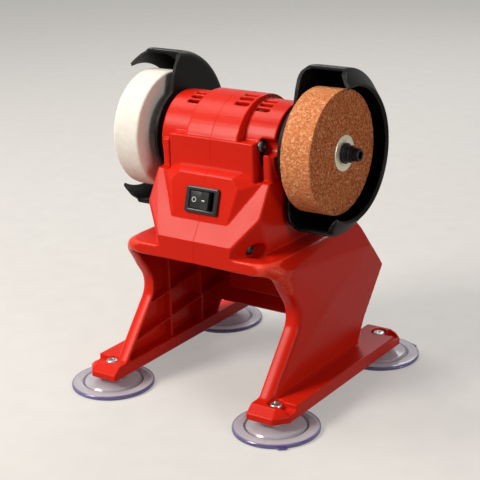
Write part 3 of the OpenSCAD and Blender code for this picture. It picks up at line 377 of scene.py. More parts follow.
cellSleeve = mouldedPlastic("shrunkCellSleeve", {  # film on the cells: glossy blue
    "flow": 9.0, "grain": 0.6, "wearAndHighlightPatch": 1.5, "dark": "#2C5A94", "light": "#3F75B4", "edge": "#7FA6D6",
    "wearAndHighlightShare": 0.3, "corner": "#1C3A62", "cornerShadeShare": 0.2, "roughness": 0.3, "bump": 0.05, "specular": 0.5})
ferrite = mouldedPlastic("sinteredFerrite", {  # magnets: dull grey, grainy
    "flow": 5.0, "grain": 0.4, "wearAndHighlightPatch": 1.0, "dark": "#3A3835", "light": "#4A4743", "edge": "#6A6660",
    "wearAndHighlightShare": 0.4, "corner": "#22211F", "cornerShadeShare": 0.2, "roughness": 0.7, "bump": 0.4, "ior": 1.6,
    "specular": 0.4})
carbonBlock = mouldedPlastic("pressedCarbon", {  # brushes: soft black with a faint sheen
    "flow": 3.0, "grain": 0.3, "wearAndHighlightPatch": 0.8, "dark": "#232221", "light": "#30302E", "edge": "#50504D",
    "wearAndHighlightShare": 0.4, "corner": "#121211", "cornerShadeShare": 0.2, "roughness": 0.55, "bump": 0.3, "specular": 0.5})

champagneSteel = finishedSteel("yellowPassivatedSteel", {  # washers: pale gold with fine rings
    "rings": True, "spacing": 0.55, "patch": 7.0, "dark": "#D3C9B0", "light": "#EBE4D0",
    "roughness": 0.46, "bump": 0.25, "metallic": 0.75})
blackOxide = finishedSteel("blackOxideSteel", {  # nuts and nose: blued black with fine rings
    "rings": True, "spacing": 0.4, "patch": 4.0, "dark": "#1D1D1F", "light": "#2C2C2F",
    "roughness": 0.36, "bump": 0.2, "metallic": 0.85})
turnedSteel = finishedSteel("turnedBrightSteel", {  # shaft and sleeves: bright, brushed
    "spacing": 0.5, "patch": 6.0, "dark": "#A9A8A4", "light": "#C4C3BF", "roughness": 0.28, "bump": 0.2})
zincSteel = finishedSteel("zincPlatedSteel", {  # foot and guard screws: bright, faintly clouded
    "axis": 0, "spacing": 0.6, "patch": 3.0, "dark": "#A7A9AB", "light": "#C9CBCC", "roughness": 0.3, "bump": 0.15})
shadedZinc = finishedSteel("shadedZincSteel", {  # screws deep in the body: the zinc darkened with painted shade for their pockets, and rougher
    "axis": 0, "spacing": 0.6, "patch": 3.0, "dark": "#48494A", "light": "#606163", "roughness": 0.48, "bump": 0.15})
bearingSteel = finishedSteel("groundBearingSteel", {  # rings and balls: ground, nearly a mirror
    "spacing": 0.4, "patch": 5.0, "dark": "#B4B6B8", "light": "#CDCFD1", "roughness": 0.2, "bump": 0.1})
canSteel = finishedSteel("galvanisedCanSteel", {  # motor can: drawn sheet with clouded zinc
    "spacing": 0.9, "patch": 8.0, "dark": "#94968F", "light": "#B5B7B1", "roughness": 0.4, "bump": 0.2})
laminatedSteel = finishedSteel("laminatedCoreSteel", {  # stacked sheets: grey and uneven
    "spacing": 0.5, "patch": 4.0, "dark": "#6E6C68", "light": "#8B8984", "roughness": 0.45, "bump": 0.5,
    "metallic": 0.9})
enamelCopper = finishedSteel("enamelledCopperWire", {  # windings: warm copper under lacquer
    "spacing": 0.45, "patch": 3.0, "dark": "#9A4B1F", "light": "#C9743B", "roughness": 0.3, "bump": 0.6,
    "metallic": 0.9})
brownAlumina = vitrifiedGrit()
whiteFelt = woolFelt()
softPvc = clearVinyl()
print("materials ready")


# Mesh helpers. Shapes are worked out in mm and placed straight into the frame.
weldGap, fineGap = 1e-6, 1e-7  # metres in which points are one: in a copy of the CAD, and in a shape made here


def makeObject(name, mesh):
    obj = bpy.data.objects.new(name, mesh)
    scene.collection.objects.link(obj)
    return obj


def meshFrom(name, points, faces, place):
    mesh = bpy.data.meshes.new(name)
    mesh.from_pydata([tuple(c * mm for c in place(p)) for p in points], [], faces)
    bm = bmesh.new()
    bm.from_mesh(mesh)
    bmesh.ops.remove_doubles(bm, verts=bm.verts, dist=fineGap)
    bmesh.ops.recalc_face_normals(bm, faces=bm.faces)
    bm.to_mesh(mesh)
    bm.free()
    return mesh


def loft(loops, around=False, caps=True):
    n = len(loops[0])
    points = [p for loop in loops for p in loop]
    steps = len(loops) if around else len(loops) - 1
    faces = [(k * n + i, k * n + (i + 1) % n, (k + 1) % len(loops) * n + (i + 1) % n, (k + 1) % len(loops) * n + i)
             for k in range(steps) for i in range(n)]
    if caps and not around:
        last = (len(loops) - 1) * n
        faces += [tuple(range(n))[::-1], tuple(last + i for i in range(n))]
    return points, faces


def filleted(path, around=False, steps=4):
    # a third value at a point is the radius that rounds it
    out = []
    for i, p in enumerate(path):
        if len(p) < 3 or (not around and i in (0, len(path) - 1)):
            out.append((p[0], p[1]))
            continue
        b = Vector(p[:2])
        u, v = (Vector(path[i - 1][:2]) - b).normalized(), (Vector(path[(i + 1) % len(path)][:2]) - b).normalized()
        reach = p[2] / math.tan(u.angle(v) / 2)
        for k in range(steps + 1):
            t = k / steps
            out.append(tuple((b + u * reach) * (1 - t) ** 2 + b * 2 * t * (1 - t) + (b + v * reach) * t * t))
    return out


def revolved(path, segments, around):
    # path of (radius, height); the ring starts at angle 0
    turn = [(math.cos(2 * math.pi * i / segments), math.sin(2 * math.pi * i / segments)) for i in range(segments)]
    return loft([[(r * c, r * s, h) for c, s in turn] for r, h in path], around)


def roundedBox(w, h, r, z, steps=5):
    loop = []
    for cx, cy, start in ((1, 1, 0), (-1, 1, 90), (-1, -1, 180), (1, -1, 270)):
        for k in range(steps + 1):
            a = math.radians(start + 90 * k / steps)
            loop.append((cx * (w / 2 - r) + r * math.cos(a), cy * (h / 2 - r) + r * math.sin(a), z))
    return loop


def settle(obj):
    # the evaluated shape becomes the object's own plain mesh
    graph = bpy.context.evaluated_depsgraph_get()
    mesh = bpy.data.meshes.new_from_object(obj.evaluated_get(graph), preserve_all_data_layers=True, depsgraph=graph)
    obj.modifiers.clear()
    obj.data = mesh
    return obj


def shadeByAngle(obj, angle):
    obj.data.shade_smooth()
    obj.data.set_sharp_from_angle(angle=math.radians(angle))


def makePiece(name, shape, place, sharp=None):
    # shape is points and faces, and edges past the angle stay sharp
    obj = makeObject(name, meshFrom(name, *shape, place))
    if sharp:
        shadeByAngle(obj, sharp)
    return obj


def dress(obj, material, body, nodes):
    obj.data.materials.clear()
    obj.data.materials.append(material)
    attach(obj, body)
    if nodes:
        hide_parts(*nodes)
    return obj


# onto the right end of the spindle (1) or the left end (-1)
onSpindle = {
    1: lambda p: (p[2], p[0], axisZ + p[1]),
    -1: lambda p: (-p[2], p[0], axisZ + p[1]),
}


# Rounded copies of moulded pieces: remeshed, smoothed, and put back on the CAD's flat faces.
# voxel in mm, smoothing passes, most triangles, and the depths in mm from which an edge or corner counts and takes its
# full mark: wear and painted highlight on edges, painted shade in corners
bodyHalf = {"voxel": 0.6, "passes": 6, "triangles": 150000, "half": True, "edgeFrom": 0.12, "edgeDepth": 0.16}
wheelGuard = {"voxel": 0.42, "passes": 4, "triangles": 60000, "half": False, "edgeFrom": 0.03, "edgeDepth": 0.1}
softening = {
    "left_shell": bodyHalf, "right_shell": bodyHalf, "left_guard": wheelGuard, "right_guard": wheelGuard,
    # the latch slides in a pocket of the case, whose walls stay as they are
    "battery_shell": {"voxel": 0.3, "passes": 12, "triangles": 80000, "half": False, "edgeFrom": 0.03,
                      "edgeDepth": 0.2, "holds": "battery_latch", "holdReach": 3.0},
    # smoothed points nearer to the CAD than snapFrom go back to it, and those past snapTo stay
    "factor": 0.5, "snapFrom": 0.035, "snapTo": 0.13, "normalWeight": 60,
    # a half is carried on past the seam while it is smoothed, then cut back to leave a dark hairline
    "seamReach": 5.0, "seamGap": 0.006, "seamLine": 0.3, "sliver": 0.08,
    # vents at the crown keep sharper edges: from and to in |x|, y and z
    "ventFrom": (5.5, -17.0, 174.0), "ventTo": (31.0, 17.0, 184.0), "ventShare": 0.3,
    # edges that are rounder than the rest: two ends and the reach of the rounding
    "deckEdges": (
        ((32.0, -54.0, 97.0), (50.0, -54.0, 97.0), 6.0),
        ((53.0, -47.0, 97.0), (53.0, 50.0, 96.0), 6.0),
        ((60.0, -44.0, 91.0), (60.0, 56.0, 79.5), 6.0),
        ((61.8, 1.0, 57.5), (60.0, -42.4, 84.5), 5.0),
        ((61.8, 1.0, 57.5), (60.0, -23.3, 59.0), 5.0),
        ((61.8, 1.0, 57.5), (60.0, -52.0, 24.0), 5.0),
        ((61.8, 1.0, 57.5), (60.0, 56.0, 79.5), 5.0),
        ((61.8, 1.0, 57.5), (60.0, 65.0, 61.0), 5.0),
    ),
    "deckPasses": 40,
    "legEdges": (
        ((51.5, -46.0, 85.5), (51.5, -28.3, 59.0), 4.0),
        ((51.5, -28.3, 59.0), (51.5, -62.0, 19.0), 4.0),
        ((56.5, -45.0, 86.0), (56.5, -27.0, 59.0), 5.5),
        ((56.5, -27.0, 59.0), (56.5, -61.0, 19.0), 5.5),
    ),
    "legPasses": 26,
    "shoulderEdges": (
        ((50.0, -54.0, 97.0), (50.0, -54.0, 88.0), 9.0),
        ((50.0, -54.0, 97.0), (53.0, -47.0, 97.0), 9.0),
        ((53.0, -47.0, 97.0), (60.0, -44.0, 91.0), 9.0),
        ((60.0, -44.0, 91.0), (60.0, -44.0, 80.0), 9.0),
    ),
    "shoulderPasses": 140,
}


def nearEdges(points, edges):
    # 1 on the given edges, falling to 0 at their reach; both halves are mirror images
    steep = 1.6  # over 1, so the weight is full for some way out from an edge
    p = points / mm
    p[:, 0] = np.abs(p[:, 0])
    best = np.zeros(len(p))
    for start, end, reach in edges:
        a, b = np.array(start), np.array(end)
        t = np.clip((p - a) @ (b - a) / ((b - a) @ (b - a)), 0, 1)
        d = np.linalg.norm(p - (a + t[:, None] * (b - a)), axis=1)
        best = np.maximum(best, np.clip(steep - steep * d / reach, 0, 1))
    return best


def coordinates(mesh):
    co = np.empty(len(mesh.vertices) * 3)
    mesh.vertices.foreach_get("co", co)
    return co.reshape(-1, 3)


def weighGroup(obj, name, amount):
    steps = 10  # weights in tenths are fine enough
    group = obj.vertex_groups.new(name=name)
    for k in range(1, steps + 1):
        group.add(np.nonzero((amount * steps).round() == k)[0].tolist(), k / steps, "REPLACE")
    return name


def carryPastSeam(bm, side, s):
    seam = [f for f in bm.faces if all(abs(v.co.x) < weldGap for v in f.verts)]
    made = bmesh.ops.extrude_face_region(bm, geom=seam)["geom"]
    bmesh.ops.translate(bm, verts=[g for g in made if isinstance(g, bmesh.types.BMVert)],
                        vec=(-side * s["seamReach"] * mm, 0, 0))
    bmesh.ops.recalc_face_normals(bm, faces=bm.faces)


def cutAtSeam(obj, side, s):
    bm = bmesh.new()
    bm.from_mesh(obj.data)
    bmesh.ops.dissolve_degenerate(bm, dist=s["sliver"] * mm, edges=bm.edges[:])
    for at in ("seamLine", "seamGap"):
        cut = bmesh.ops.bisect_plane(bm, geom=bm.verts[:] + bm.edges[:] + bm.faces[:], dist=fineGap,
                                     plane_co=(side * s[at] * mm, 0, 0), plane_no=(-side, 0, 0),
                                     clear_outer=at == "seamGap")
    rim = [g for g in cut["geom_cut"] if isinstance(g, bmesh.types.BMEdge)]
    for edge in rim:
        edge.smooth = False
    bmesh.ops.triangle_fill(bm, use_beauty=True, edges=rim, normal=(-side, 0, 0))
    bm.to_mesh(obj.data)
    bm.free()


def remeshed(node, own, side, s, name):
    # a copy of a CAD node in even voxels, and the CAD's surface to measure against
    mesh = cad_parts[node].data.copy()
    bm = bmesh.new()
    bm.from_mesh(mesh)
    bmesh.ops.remove_doubles(bm, verts=bm.verts, dist=weldGap)
    if own["half"]:
        carryPastSeam(bm, side, s)
    bm.to_mesh(mesh)
    solid = BVHTree.FromBMesh(bm)
    bm.free()
    obj = makeObject(name, mesh)
    remesh = obj.modifiers.new("voxels", "REMESH")
    remesh.mode, remesh.voxel_size, remesh.adaptivity = "VOXEL", own["voxel"] * mm, 0.0
    return settle(obj), solid


def smoothEdges(obj, own, s):
    # gives back how free each point is from the CAD: 1 on the edges that are rounder than the rest
    loose = np.zeros(len(obj.data.vertices))
    if own["half"]:
        points = coordinates(obj.data)
        for kind in ("deck", "leg", "shoulder"):
            near = nearEdges(points, s[kind + "Edges"])
            extra = obj.modifiers.new(kind, "SMOOTH")
            extra.factor, extra.iterations = s["factor"], s[kind + "Passes"]
            extra.use_x = kind != "leg"  # a leg's rim stays as wide as it is
            extra.vertex_group = weighGroup(obj, kind, near)
            loose = np.maximum(loose, near)
        points[:, 0] = np.abs(points[:, 0])
        vents = np.all((points / mm > s["ventFrom"]) & (points / mm < s["ventTo"]), axis=1)
        weighGroup(obj, "allEdges", np.where(vents, s["ventShare"], 1.0))
    smooth = obj.modifiers.new("edges", "SMOOTH")
    smooth.factor, smooth.iterations = s["factor"], own["passes"]
    if own["half"]:
        smooth.vertex_group = "allEdges"
    settle(obj)
    return loose


def backOntoCad(obj, solid, loose, own, s):
    co = coordinates(obj.data)
    held = np.zeros(len(co), bool)
    if "holds" in own:
        box = coordinates(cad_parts[own["holds"]].data)
        reach = own["holdReach"] * mm
        held = np.all((co > box.min(axis=0) - reach) & (co < box.max(axis=0) + reach), axis=1)
    for i, c in enumerate(co):
        spot, _, _, away = solid.find_nearest(c)
        t = min(max((away / mm - s["snapFrom"]) / (s["snapTo"] - s["snapFrom"]), loose[i]), 1) * (not held[i])
        co[i] = c + (np.array(spot) - c) * (1 - t * t * (3 - 2 * t))
    obj.data.vertices.foreach_set("co", co.ravel())
    obj.data.update()


def writeRounding(obj, solid, own, s):
    # above zero where an outer edge was taken down, below zero where a corner was filled, -1 along the seam
    rounding = np.zeros(len(obj.data.vertices))
    least = own["edgeFrom"] * mm
    for i, v in enumerate(obj.data.vertices):
        inside = (solid.find_nearest(v.co)[0] - v.co).dot(v.normal)
        inside -= min(max(inside, -least), least)
        onSeam = own["half"] and abs(v.co.x) < 2 * s["seamGap"] * mm
        rounding[i] = -1 if onSeam else min(max(inside / mm / own["edgeDepth"], -1), 1)
    obj.data.attributes.new("rounding", "FLOAT", "POINT").data.foreach_set("value", rounding.astype(np.float32))


def softenedCopy(node, s, name):
    own = s[node]
    side = -1 if node.startswith("left") else 1
    obj, solid = remeshed(node, own, side, s, name)
    backOntoCad(obj, solid, smoothEdges(obj, own, s), own, s)
    lean = obj.modifiers.new("lean", "DECIMATE")
    lean.ratio = min(1.0, own["triangles"] / (2 * len(obj.data.polygons)))
    settle(obj)
    obj.vertex_groups.clear()
    if own["half"]:
        cutAtSeam(obj, side, s)
    writeRounding(obj, solid, own, s)
    obj.data.shade_smooth()
    weigh = obj.modifiers.new("normals", "WEIGHTED_NORMAL")
    weigh.weight, weigh.keep_sharp = s["normalWeight"], own["half"]
    settle(obj)
    print("softened", node, len(obj.data.polygons), "faces")
    return obj


for node, name, material, body, slot in (
        ("left_shell", "bodyHalfLeft", redAbs, "body", "red_plastic"),
        ("right_shell", "bodyHalfRight", redAbs, "body", "red_plastic"),
        ("left_guard", "wheelGuardLeft", blackNylon, "body", "black_plastic"),
        ("right_guard", "wheelGuardRight", blackNylon, "body", "black_plastic"),
        ("battery_shell", "packCase", packNylon, "battery", "dark_plastic")):
    dress(softenedCopy(node, softening, name), material, body, [node])


# Wheels
wheelSize = {"radius": wheelRadius, "inner": 52.0, "outer": 72.0, "bore": 5.0, "clamped": 13.5}
grindWheel = {**wheelSize, "edge": 0.45, "step": 0.6, "pit": 0.42, "proud": 0.2, "grain": 0.9, "clump": 2.1,
              "grainShare": 0.6}


def spaced(path, step):
    out = []
    for a, b in zip(path, path[1:]):
        n = max(1, round(math.dist(a, b) / step))
        out += [(a[0] + (b[0] - a[0]) * k / n, a[1] + (b[1] - a[1]) * k / n) for k in range(n)]
    return out


def denseRing(name, outline, radius, step, place):
    # a turned shape in small even faces
    return meshFrom(name, *revolved(spaced(outline + outline[:1], step), round(2 * math.pi * radius / step), True),
                    place)


def sinkSurface(mesh, clamped, depth):
    # moves the surface inwards by a depth in mm, except inside the radius where the flanges clamp it
    co = coordinates(mesh)
    normals = np.array([n.vector for n in mesh.vertex_normals])
    points = co / mm
    free = np.nonzero(np.hypot(points[:, 1], points[:, 2] - axisZ) > clamped)[0]
    sunk = np.array([depth(Vector(points[i])) for i in free])
    co[free] -= normals[free] * sunk[:, None] * mm
    mesh.vertices.foreach_set("co", co.ravel())
    mesh.update()


def makeGrindWheel(w):
    r, e = w["radius"], w["edge"]
    outline = [(w["bore"], w["inner"]), (r - e, w["inner"]), (r, w["inner"] + e), (r, w["outer"] - e),
               (r - e, w["outer"]), (w["bore"], w["outer"])]
    mesh = denseRing("grindWheel", outline, r, w["step"], onSpindle[1])

    def pitDepth(q):
        # grains stand proud of the bond and leave small open pits
        grain = noise.noise(q / w["grain"]) * w["grainShare"]
        clump = noise.noise(q / w["clump"] + Vector((7, 3, 1))) * (1 - w["grainShare"])
        return (max(grain + clump, -w["proud"]) + w["proud"]) * w["pit"]

    sinkSurface(mesh, w["clamped"], pitDepth)
    obj = makeObject("grindWheel", mesh)
    obj.data.shade_smooth()
    return dress(obj, brownAlumina, "spindle", ["grinding_wheel"])


makeGrindWheel(grindWheel)

feltWheel = {**wheelSize, "edge": 2.2, "step": 0.9, "wave": 0.16, "waveLength": 3.2, "napRoom": 0.35,
             "faceRoom": 0.02, "napDensity": 0.32, "napSeed": 11,
             "napLength": 0.75, "napWidth": 0.06, "napTilt": (0.9, 0.9, 3.1), "napSize": (0.5, 1.2),
             # rings of a strand: shift in mm, share of the length, share of the width
             "strand": ((0.0, 0.0, 0.5), (0.1, 0.5, 0.4), (0.3, 1.0, 0.12))}


def makeFeltWheel(w):
    r, e = w["radius"] - w["napRoom"], w["edge"]
    x0, x1 = w["inner"] + w["faceRoom"], w["outer"] - w["faceRoom"]
    outline = filleted([(w["bore"], x0), (r, x0, e), (r, x1, e), (w["bore"], x1)], steps=5)
    mesh = denseRing("feltWheel", outline, r, w["step"], onSpindle[-1])
    sinkSurface(mesh, w["clamped"], lambda q: (0.5 + 0.5 * noise.noise(q / w["waveLength"])) * w["wave"])
    obj = makeObject("feltWheel", mesh)
    obj.data.shade_smooth()
    return dress(obj, whiteFelt, "spindle", ["felt_wheel"])


felt = makeFeltWheel(feltWheel)


def socketName(tree, label):
    return next(s.identifier for s in tree.interface.items_tree if s.name == label and s.in_out == "INPUT")


def startTree(name, inputs):
    tree = bpy.data.node_groups.new(name, "GeometryNodeTree")
    tree.interface.new_socket("Geometry", in_out="INPUT", socket_type="NodeSocketGeometry")
    for label, kind in inputs:
        tree.interface.new_socket(label, in_out="INPUT", socket_type=kind)
    tree.interface.new_socket("Geometry", in_out="OUTPUT", socket_type="NodeSocketGeometry")
    return tree, addNode(tree, "NodeGroupInput")


def runTree(obj, tree, values):
    modifier = obj.modifiers.new(tree.name, "NODES")
    modifier.node_group = tree
    for label, value in values.items():
        modifier[socketName(tree, label)] = value
    obj.update_tag()
    bpy.context.view_layer.update()
    return settle(obj)


def makeNap(w, base):
    # short wool ends that stand off the felt
    thick, (low, high) = w["napWidth"], w["napSize"]
    rings = [[(x + t * thick * math.cos(a), t * thick * math.sin(a), z * w["napLength"]) for a in (0, 2.1, 4.2)]
             for x, z, t in w["strand"]]
    points, faces = loft(rings, caps=False)
    strand = bpy.data.meshes.new("feltStrand")
    strand.from_pydata([tuple(c * mm for c in p) for p in points], [], faces + [(6, 7, 8)])
    strandObj = bpy.data.objects.new("feltStrand", strand)
    tree, given = startTree("feltNap", (("Strand", "NodeSocketObject"), ("Density", "NodeSocketFloat"),
                                        ("Seed", "NodeSocketInt"), ("Finish", "NodeSocketMaterial")))
    spots = addNode(tree, "GeometryNodeDistributePointsOnFaces", {
        "Mesh": given.outputs["Geometry"], "Density": given.outputs["Density"], "Seed": given.outputs["Seed"]})
    shape = addNode(tree, "GeometryNodeObjectInfo", {"Object": given.outputs["Strand"]})
    tilt = addNode(tree, "FunctionNodeRandomValue", {0: tuple(-c for c in w["napTilt"]), 1: w["napTilt"],
                                                     "Seed": given.outputs["Seed"]}, data_type="FLOAT_VECTOR")
    size = addNode(tree, "FunctionNodeRandomValue", {2: low, 3: high, "Seed": given.outputs["Seed"]},
                   data_type="FLOAT")
    turn = addNode(tree, "FunctionNodeEulerToRotation", {0: tilt.outputs[0]})
    placed = addNode(tree, "GeometryNodeInstanceOnPoints", {
        "Points": spots.outputs["Points"], "Instance": shape.outputs["Geometry"],
        "Rotation": spots.outputs["Rotation"], "Scale": size.outputs[1]})
    leaned = addNode(tree, "GeometryNodeRotateInstances", {"Instances": placed.outputs[0],
                                                           "Rotation": turn.outputs[0]})
    real = addNode(tree, "GeometryNodeRealizeInstances", {"Geometry": leaned.outputs[0]})
    finish = addNode(tree, "GeometryNodeSetMaterial", {"Geometry": real.outputs[0],
                                                       "Material": given.outputs["Finish"]})
    addNode(tree, "NodeGroupOutput", {"Geometry": finish.outputs[0]})
    obj = makeObject("feltNap", base.data.copy())
    runTree(obj, tree, {"Strand": strandObj, "Density": w["napDensity"] / mm ** 2, "Seed": w["napSeed"],
                        "Finish": whiteFelt})
    bpy.data.objects.remove(strandObj)
    print("felt nap:", len(obj.data.polygons), "faces")
    return dress(obj, whiteFelt, "spindle", [])


makeNap(feltWheel, felt)
print("wheels ready")


# Spindle, washers and nuts: outlines of radius and place along the axis, with a third value that rounds a point
spindleSet = {
    "shaft": [(0, -81.1), (3.5, -81.1, 0.3), (4.0, -80.6), (4.0, 79.6, 0.2), (3.9, 79.7), (3.9, 83.4, 0.2),
              (3.35, 84.0, 0.15), (2.75, 84.0, 0.15), (2.4, 83.6), (2.4, 76.6), (0, 76.0)],
    "washer": [(4.05, 72.0), (11.0, 72.0, 0.2), (11.0, 73.25, 0.2), (10.6, 73.6, 0.2), (7.6, 73.6, 0.4),
               (6.9, 73.35, 0.4), (4.05, 73.35)],
    "nut": [(4.05, 73.6), (6.2, 73.6), (6.2, 74.9, 0.25), (5.2, 75.4, 0.15), (5.2, 76.1, 0.1), (4.7, 76.4, 0.1),
            (4.7, 77.0, 0.1), (5.2, 77.2, 0.1), (5.2, 78.0, 0.15), (4.7, 78.3, 0.1), (4.7, 79.55, 0.25),
            (4.05, 79.55)],
    "segments": 96, "sharp": 35, "blackFrom": 73.6,
}


def makeSpindleSet(s):
    count, sharp = s["segments"], s["sharp"]
    shaft = makePiece("spindleShaft", revolved(filleted(s["shaft"]), count, False), onSpindle[1], sharp)
    dress(shaft, turnedSteel, "spindle", ["spindle_shaft"])
    # the nose is blackened, in the socket too
    shaft.data.materials.append(blackOxide)
    for face in shaft.data.polygons:
        face.material_index = 1 if face.center.x > s["blackFrom"] * mm else 0
    for side, word in ((1, "right"), (-1, "left")):
        washer = makePiece(word + "Washer", revolved(filleted(s["washer"], True), count, True), onSpindle[side], sharp)
        dress(washer, champagneSteel, "spindle", [word + "_washer"])
    nut = makePiece("roundNut", revolved(filleted(s["nut"], True), count, True), onSpindle[1], sharp)
    dress(nut, blackOxide, "spindle", ["right_nut"])


makeSpindleSet(spindleSet)

hexNut = {"across": 13.0, "inner": 73.6, "outer": 79.6, "bore": 4.05, "crown": 0.15, "slope": 0.55, "lead": 0.6,
          "perSide": 12, "sharp": 25}


def makeHexNut(n):
    count = 6 * n["perSide"]
    flat, low, top = n["across"] / 2, n["inner"], n["outer"]
    crown = flat + n["crown"]
    angles = [2 * math.pi * i / count for i in range(count)]
    reach = [flat / math.cos((a + math.pi / 6) % (math.pi / 3) - math.pi / 6) for a in angles]
    # radius and height of each ring, from how far the hexagon reaches and how much its chamfer drops there
    rings = (
        lambda far, drop: (n["bore"], low),
        lambda far, drop: (min(far, crown), low),
        lambda far, drop: (far, low + drop),
        lambda far, drop: (far, top - drop),
        lambda far, drop: (min(far, crown), top),
        lambda far, drop: (n["bore"] + n["lead"], top),
        lambda far, drop: (n["bore"], top - n["lead"]),
    )
    loops = []
    for ring in rings:
        spots = [ring(far, max(far - crown, 0) * n["slope"]) for far in reach]
        loops.append([(r * math.cos(a), r * math.sin(a), h) for a, (r, h) in zip(angles, spots)])
    nut = makePiece("hexNut", loft(loops, True), onSpindle[-1], n["sharp"])
    dress(nut, blackOxide, "spindle", ["left_nut"])


makeHexNut(hexNut)
print("spindle ready")


# Screws: one cross-recess head, set at each place by a tree
screws = {
    # the shell screws use the zinc darkened with painted shade
    "shell_screws": {"places": [((31.0, y, z), (1, 0, 0)) for y, z in
                                ((-25, 159.5), (25, 159.5), (-41, 100.5), (35, 100.5))],
                     "radius": 3.4, "height": 2.4, "shank": 1.75, "length": 46.5, "seed": 3,
                     "finish": shadedZinc, "slot": "zinc_steel"},
    "foot_screws": {"places": [((sx * footX, sy * footY, 14.8), (0, 0, 1)) for sx in (-1, 1) for sy in (-1, 1)],
                    "radius": 4.0, "height": 2.0, "shank": 2.0, "length": 11.8, "seed": 5,
                    "finish": zincSteel, "slot": "zinc_steel"},
    "guard_screws": {"places": [((sx * 46.4, 19 * math.cos(math.radians(a)), axisZ + 19 * math.sin(math.radians(a))),
                                 (sx, 0, 0)) for sx in (-1, 1) for a in (45, 135, 225, 315)],
                     "radius": 3.0, "height": 1.8, "shank": 1.75, "length": 7.5, "seed": 7,
                     "finish": zincSteel, "slot": "zinc_steel"},
}
crossHead = {
    # points of the dome as shares of the head's radius and height, with the mm that round each
    "dome": ((0.5, 0.98, 0.4), (0.86, 0.82, 0.5)), "side": (0.35, 0.4), "room": 0.02, "point": 1.5, "tip": 0.4,
    # the recess: share of the head's radius, half width, and height over its top
    "recess": ((0.26, 0.42, -1.7), (0.6, 0.78, 0.4)), "segments": 40, "sharp": 40,
}


def screwTree():
    tree, given = startTree("screwPlaces", (("Screw", "NodeSocketObject"), ("Seed", "NodeSocketInt"),
                                            ("Finish", "NodeSocketMaterial")))
    facing = addNode(tree, "GeometryNodeInputNamedAttribute", {"Name": "facing"}, data_type="FLOAT_VECTOR")
    aim = addNode(tree, "FunctionNodeAlignRotationToVector", {"Vector": facing.outputs[0]}, axis="Z")
    shape = addNode(tree, "GeometryNodeObjectInfo", {"Object": given.outputs["Screw"]})
    twist = addNode(tree, "FunctionNodeRandomValue", {0: (0, 0, 0), 1: (0, 0, 6.28), "Seed": given.outputs["Seed"]},
                    data_type="FLOAT_VECTOR")
    turn = addNode(tree, "FunctionNodeEulerToRotation", {0: twist.outputs[0]})
    placed = addNode(tree, "GeometryNodeInstanceOnPoints", {
        "Points": given.outputs["Geometry"], "Instance": shape.outputs["Geometry"], "Rotation": aim.outputs[0]})
    turned = addNode(tree, "GeometryNodeRotateInstances", {"Instances": placed.outputs[0],
                                                           "Rotation": turn.outputs[0]})
    real = addNode(tree, "GeometryNodeRealizeInstances", {"Geometry": turned.outputs[0]})
    finish = addNode(tree, "GeometryNodeSetMaterial", {"Geometry": real.outputs[0],
                                                       "Material": given.outputs["Finish"]})
    addNode(tree, "NodeGroupOutput", {"Geometry": finish.outputs[0]})
    return tree


def asDrawn(p):
    return p


def crossScrew(s, head):
    r, h, k, end = s["radius"], s["height"], s["shank"], -s["length"]
    edge = r - head["room"]
    path = [(0, h)] + [(r * u, h * v, rounded) for u, v, rounded in head["dome"]]
    path += [(edge, h * head["side"][0], head["side"][1]), (edge, 0.0), (k, 0.0), (k, end + head["point"]),
             (head["tip"], end)]
    screw = makePiece("crossScrew", revolved(filleted(path), head["segments"], False), asDrawn)
    wings = []
    for turn in (0, 90):
        a = math.radians(turn)
        loops = [[(x * math.cos(a) - y * math.sin(a), x * math.sin(a) + y * math.cos(a), h + z)
                  for x, y in ((-r * u, -t), (r * u, -t), (r * u, t), (-r * u, t))]
                 for u, t, z in head["recess"]]
        wing = makePiece("recessWing", loft(loops), asDrawn)
        cut = screw.modifiers.new("recess", "BOOLEAN")
        cut.operation, cut.solver, cut.object = "DIFFERENCE", "EXACT", wing
        wings.append(wing)
    settle(screw)
    for wing in wings:
        bpy.data.objects.remove(wing)
    shadeByAngle(screw, head["sharp"])
    return screw


def makeScrews(kinds, head):
    tree = screwTree()
    for node, s in kinds.items():
        screw = crossScrew(s, head)
        points = bpy.data.meshes.new(node)
        points.from_pydata([tuple(c * mm for c in at) for at, facing in s["places"]], [], [])
        points.attributes.new("facing", "FLOAT_VECTOR", "POINT").data.foreach_set(
            "vector", [c for at, facing in s["places"] for c in facing])
        obj = makeObject("crossScrews_" + node.split("_")[0], points)
        runTree(obj, tree, {"Screw": screw, "Seed": s["seed"], "Finish": s["finish"]})
        bpy.data.objects.remove(screw)
        dress(obj, s["finish"], "body", [node])


makeScrews(screws, crossHead)
print("screws ready")


# Suction cups
cups = {
    "places": (("cup_front_left", -1, -1, 120), ("cup_front_right", 1, -1, -50),
               ("cup_rear_left", -1, 1, 120), ("cup_rear_right", 1, 1, 60)),
    "segments": 96, "sharp": 40,
    # outside from the screw hole over the neck, the raised middle and the flat lip, then back underneath
    "path": [(2.05, 8.45), (6.9, 8.45, 0.3), (7.0, 5.6, 0.8), (9.0, 4.4, 0.8), (17.4, 3.7, 0.8), (18.5, 2.2, 0.4),
             (19.2, 2.2, 0.3), (19.8, 3.05, 0.3), (25.0, 2.85, 0.4), (26.0, 2.75, 0.4), (26.5, 2.1, 0.4),
             (26.5, 0.6, 0.4), (25.9, 0.0, 0.3), (24.2, 0.0, 0.3), (19.6, 0.8, 1.0), (2.05, 0.8)],
    # pull tab: distance of its root, shoulders and tip, then half width, height and setback of each layer
    "tab": (25.6, 27.6, 28.4), "tabCorner": 1.0,
    "tabLayers": ((2.8, 0.45, 0.2), (3.0, 0.6, 0.0), (3.0, 1.3, 0.0), (2.8, 1.45, 0.2)),
}


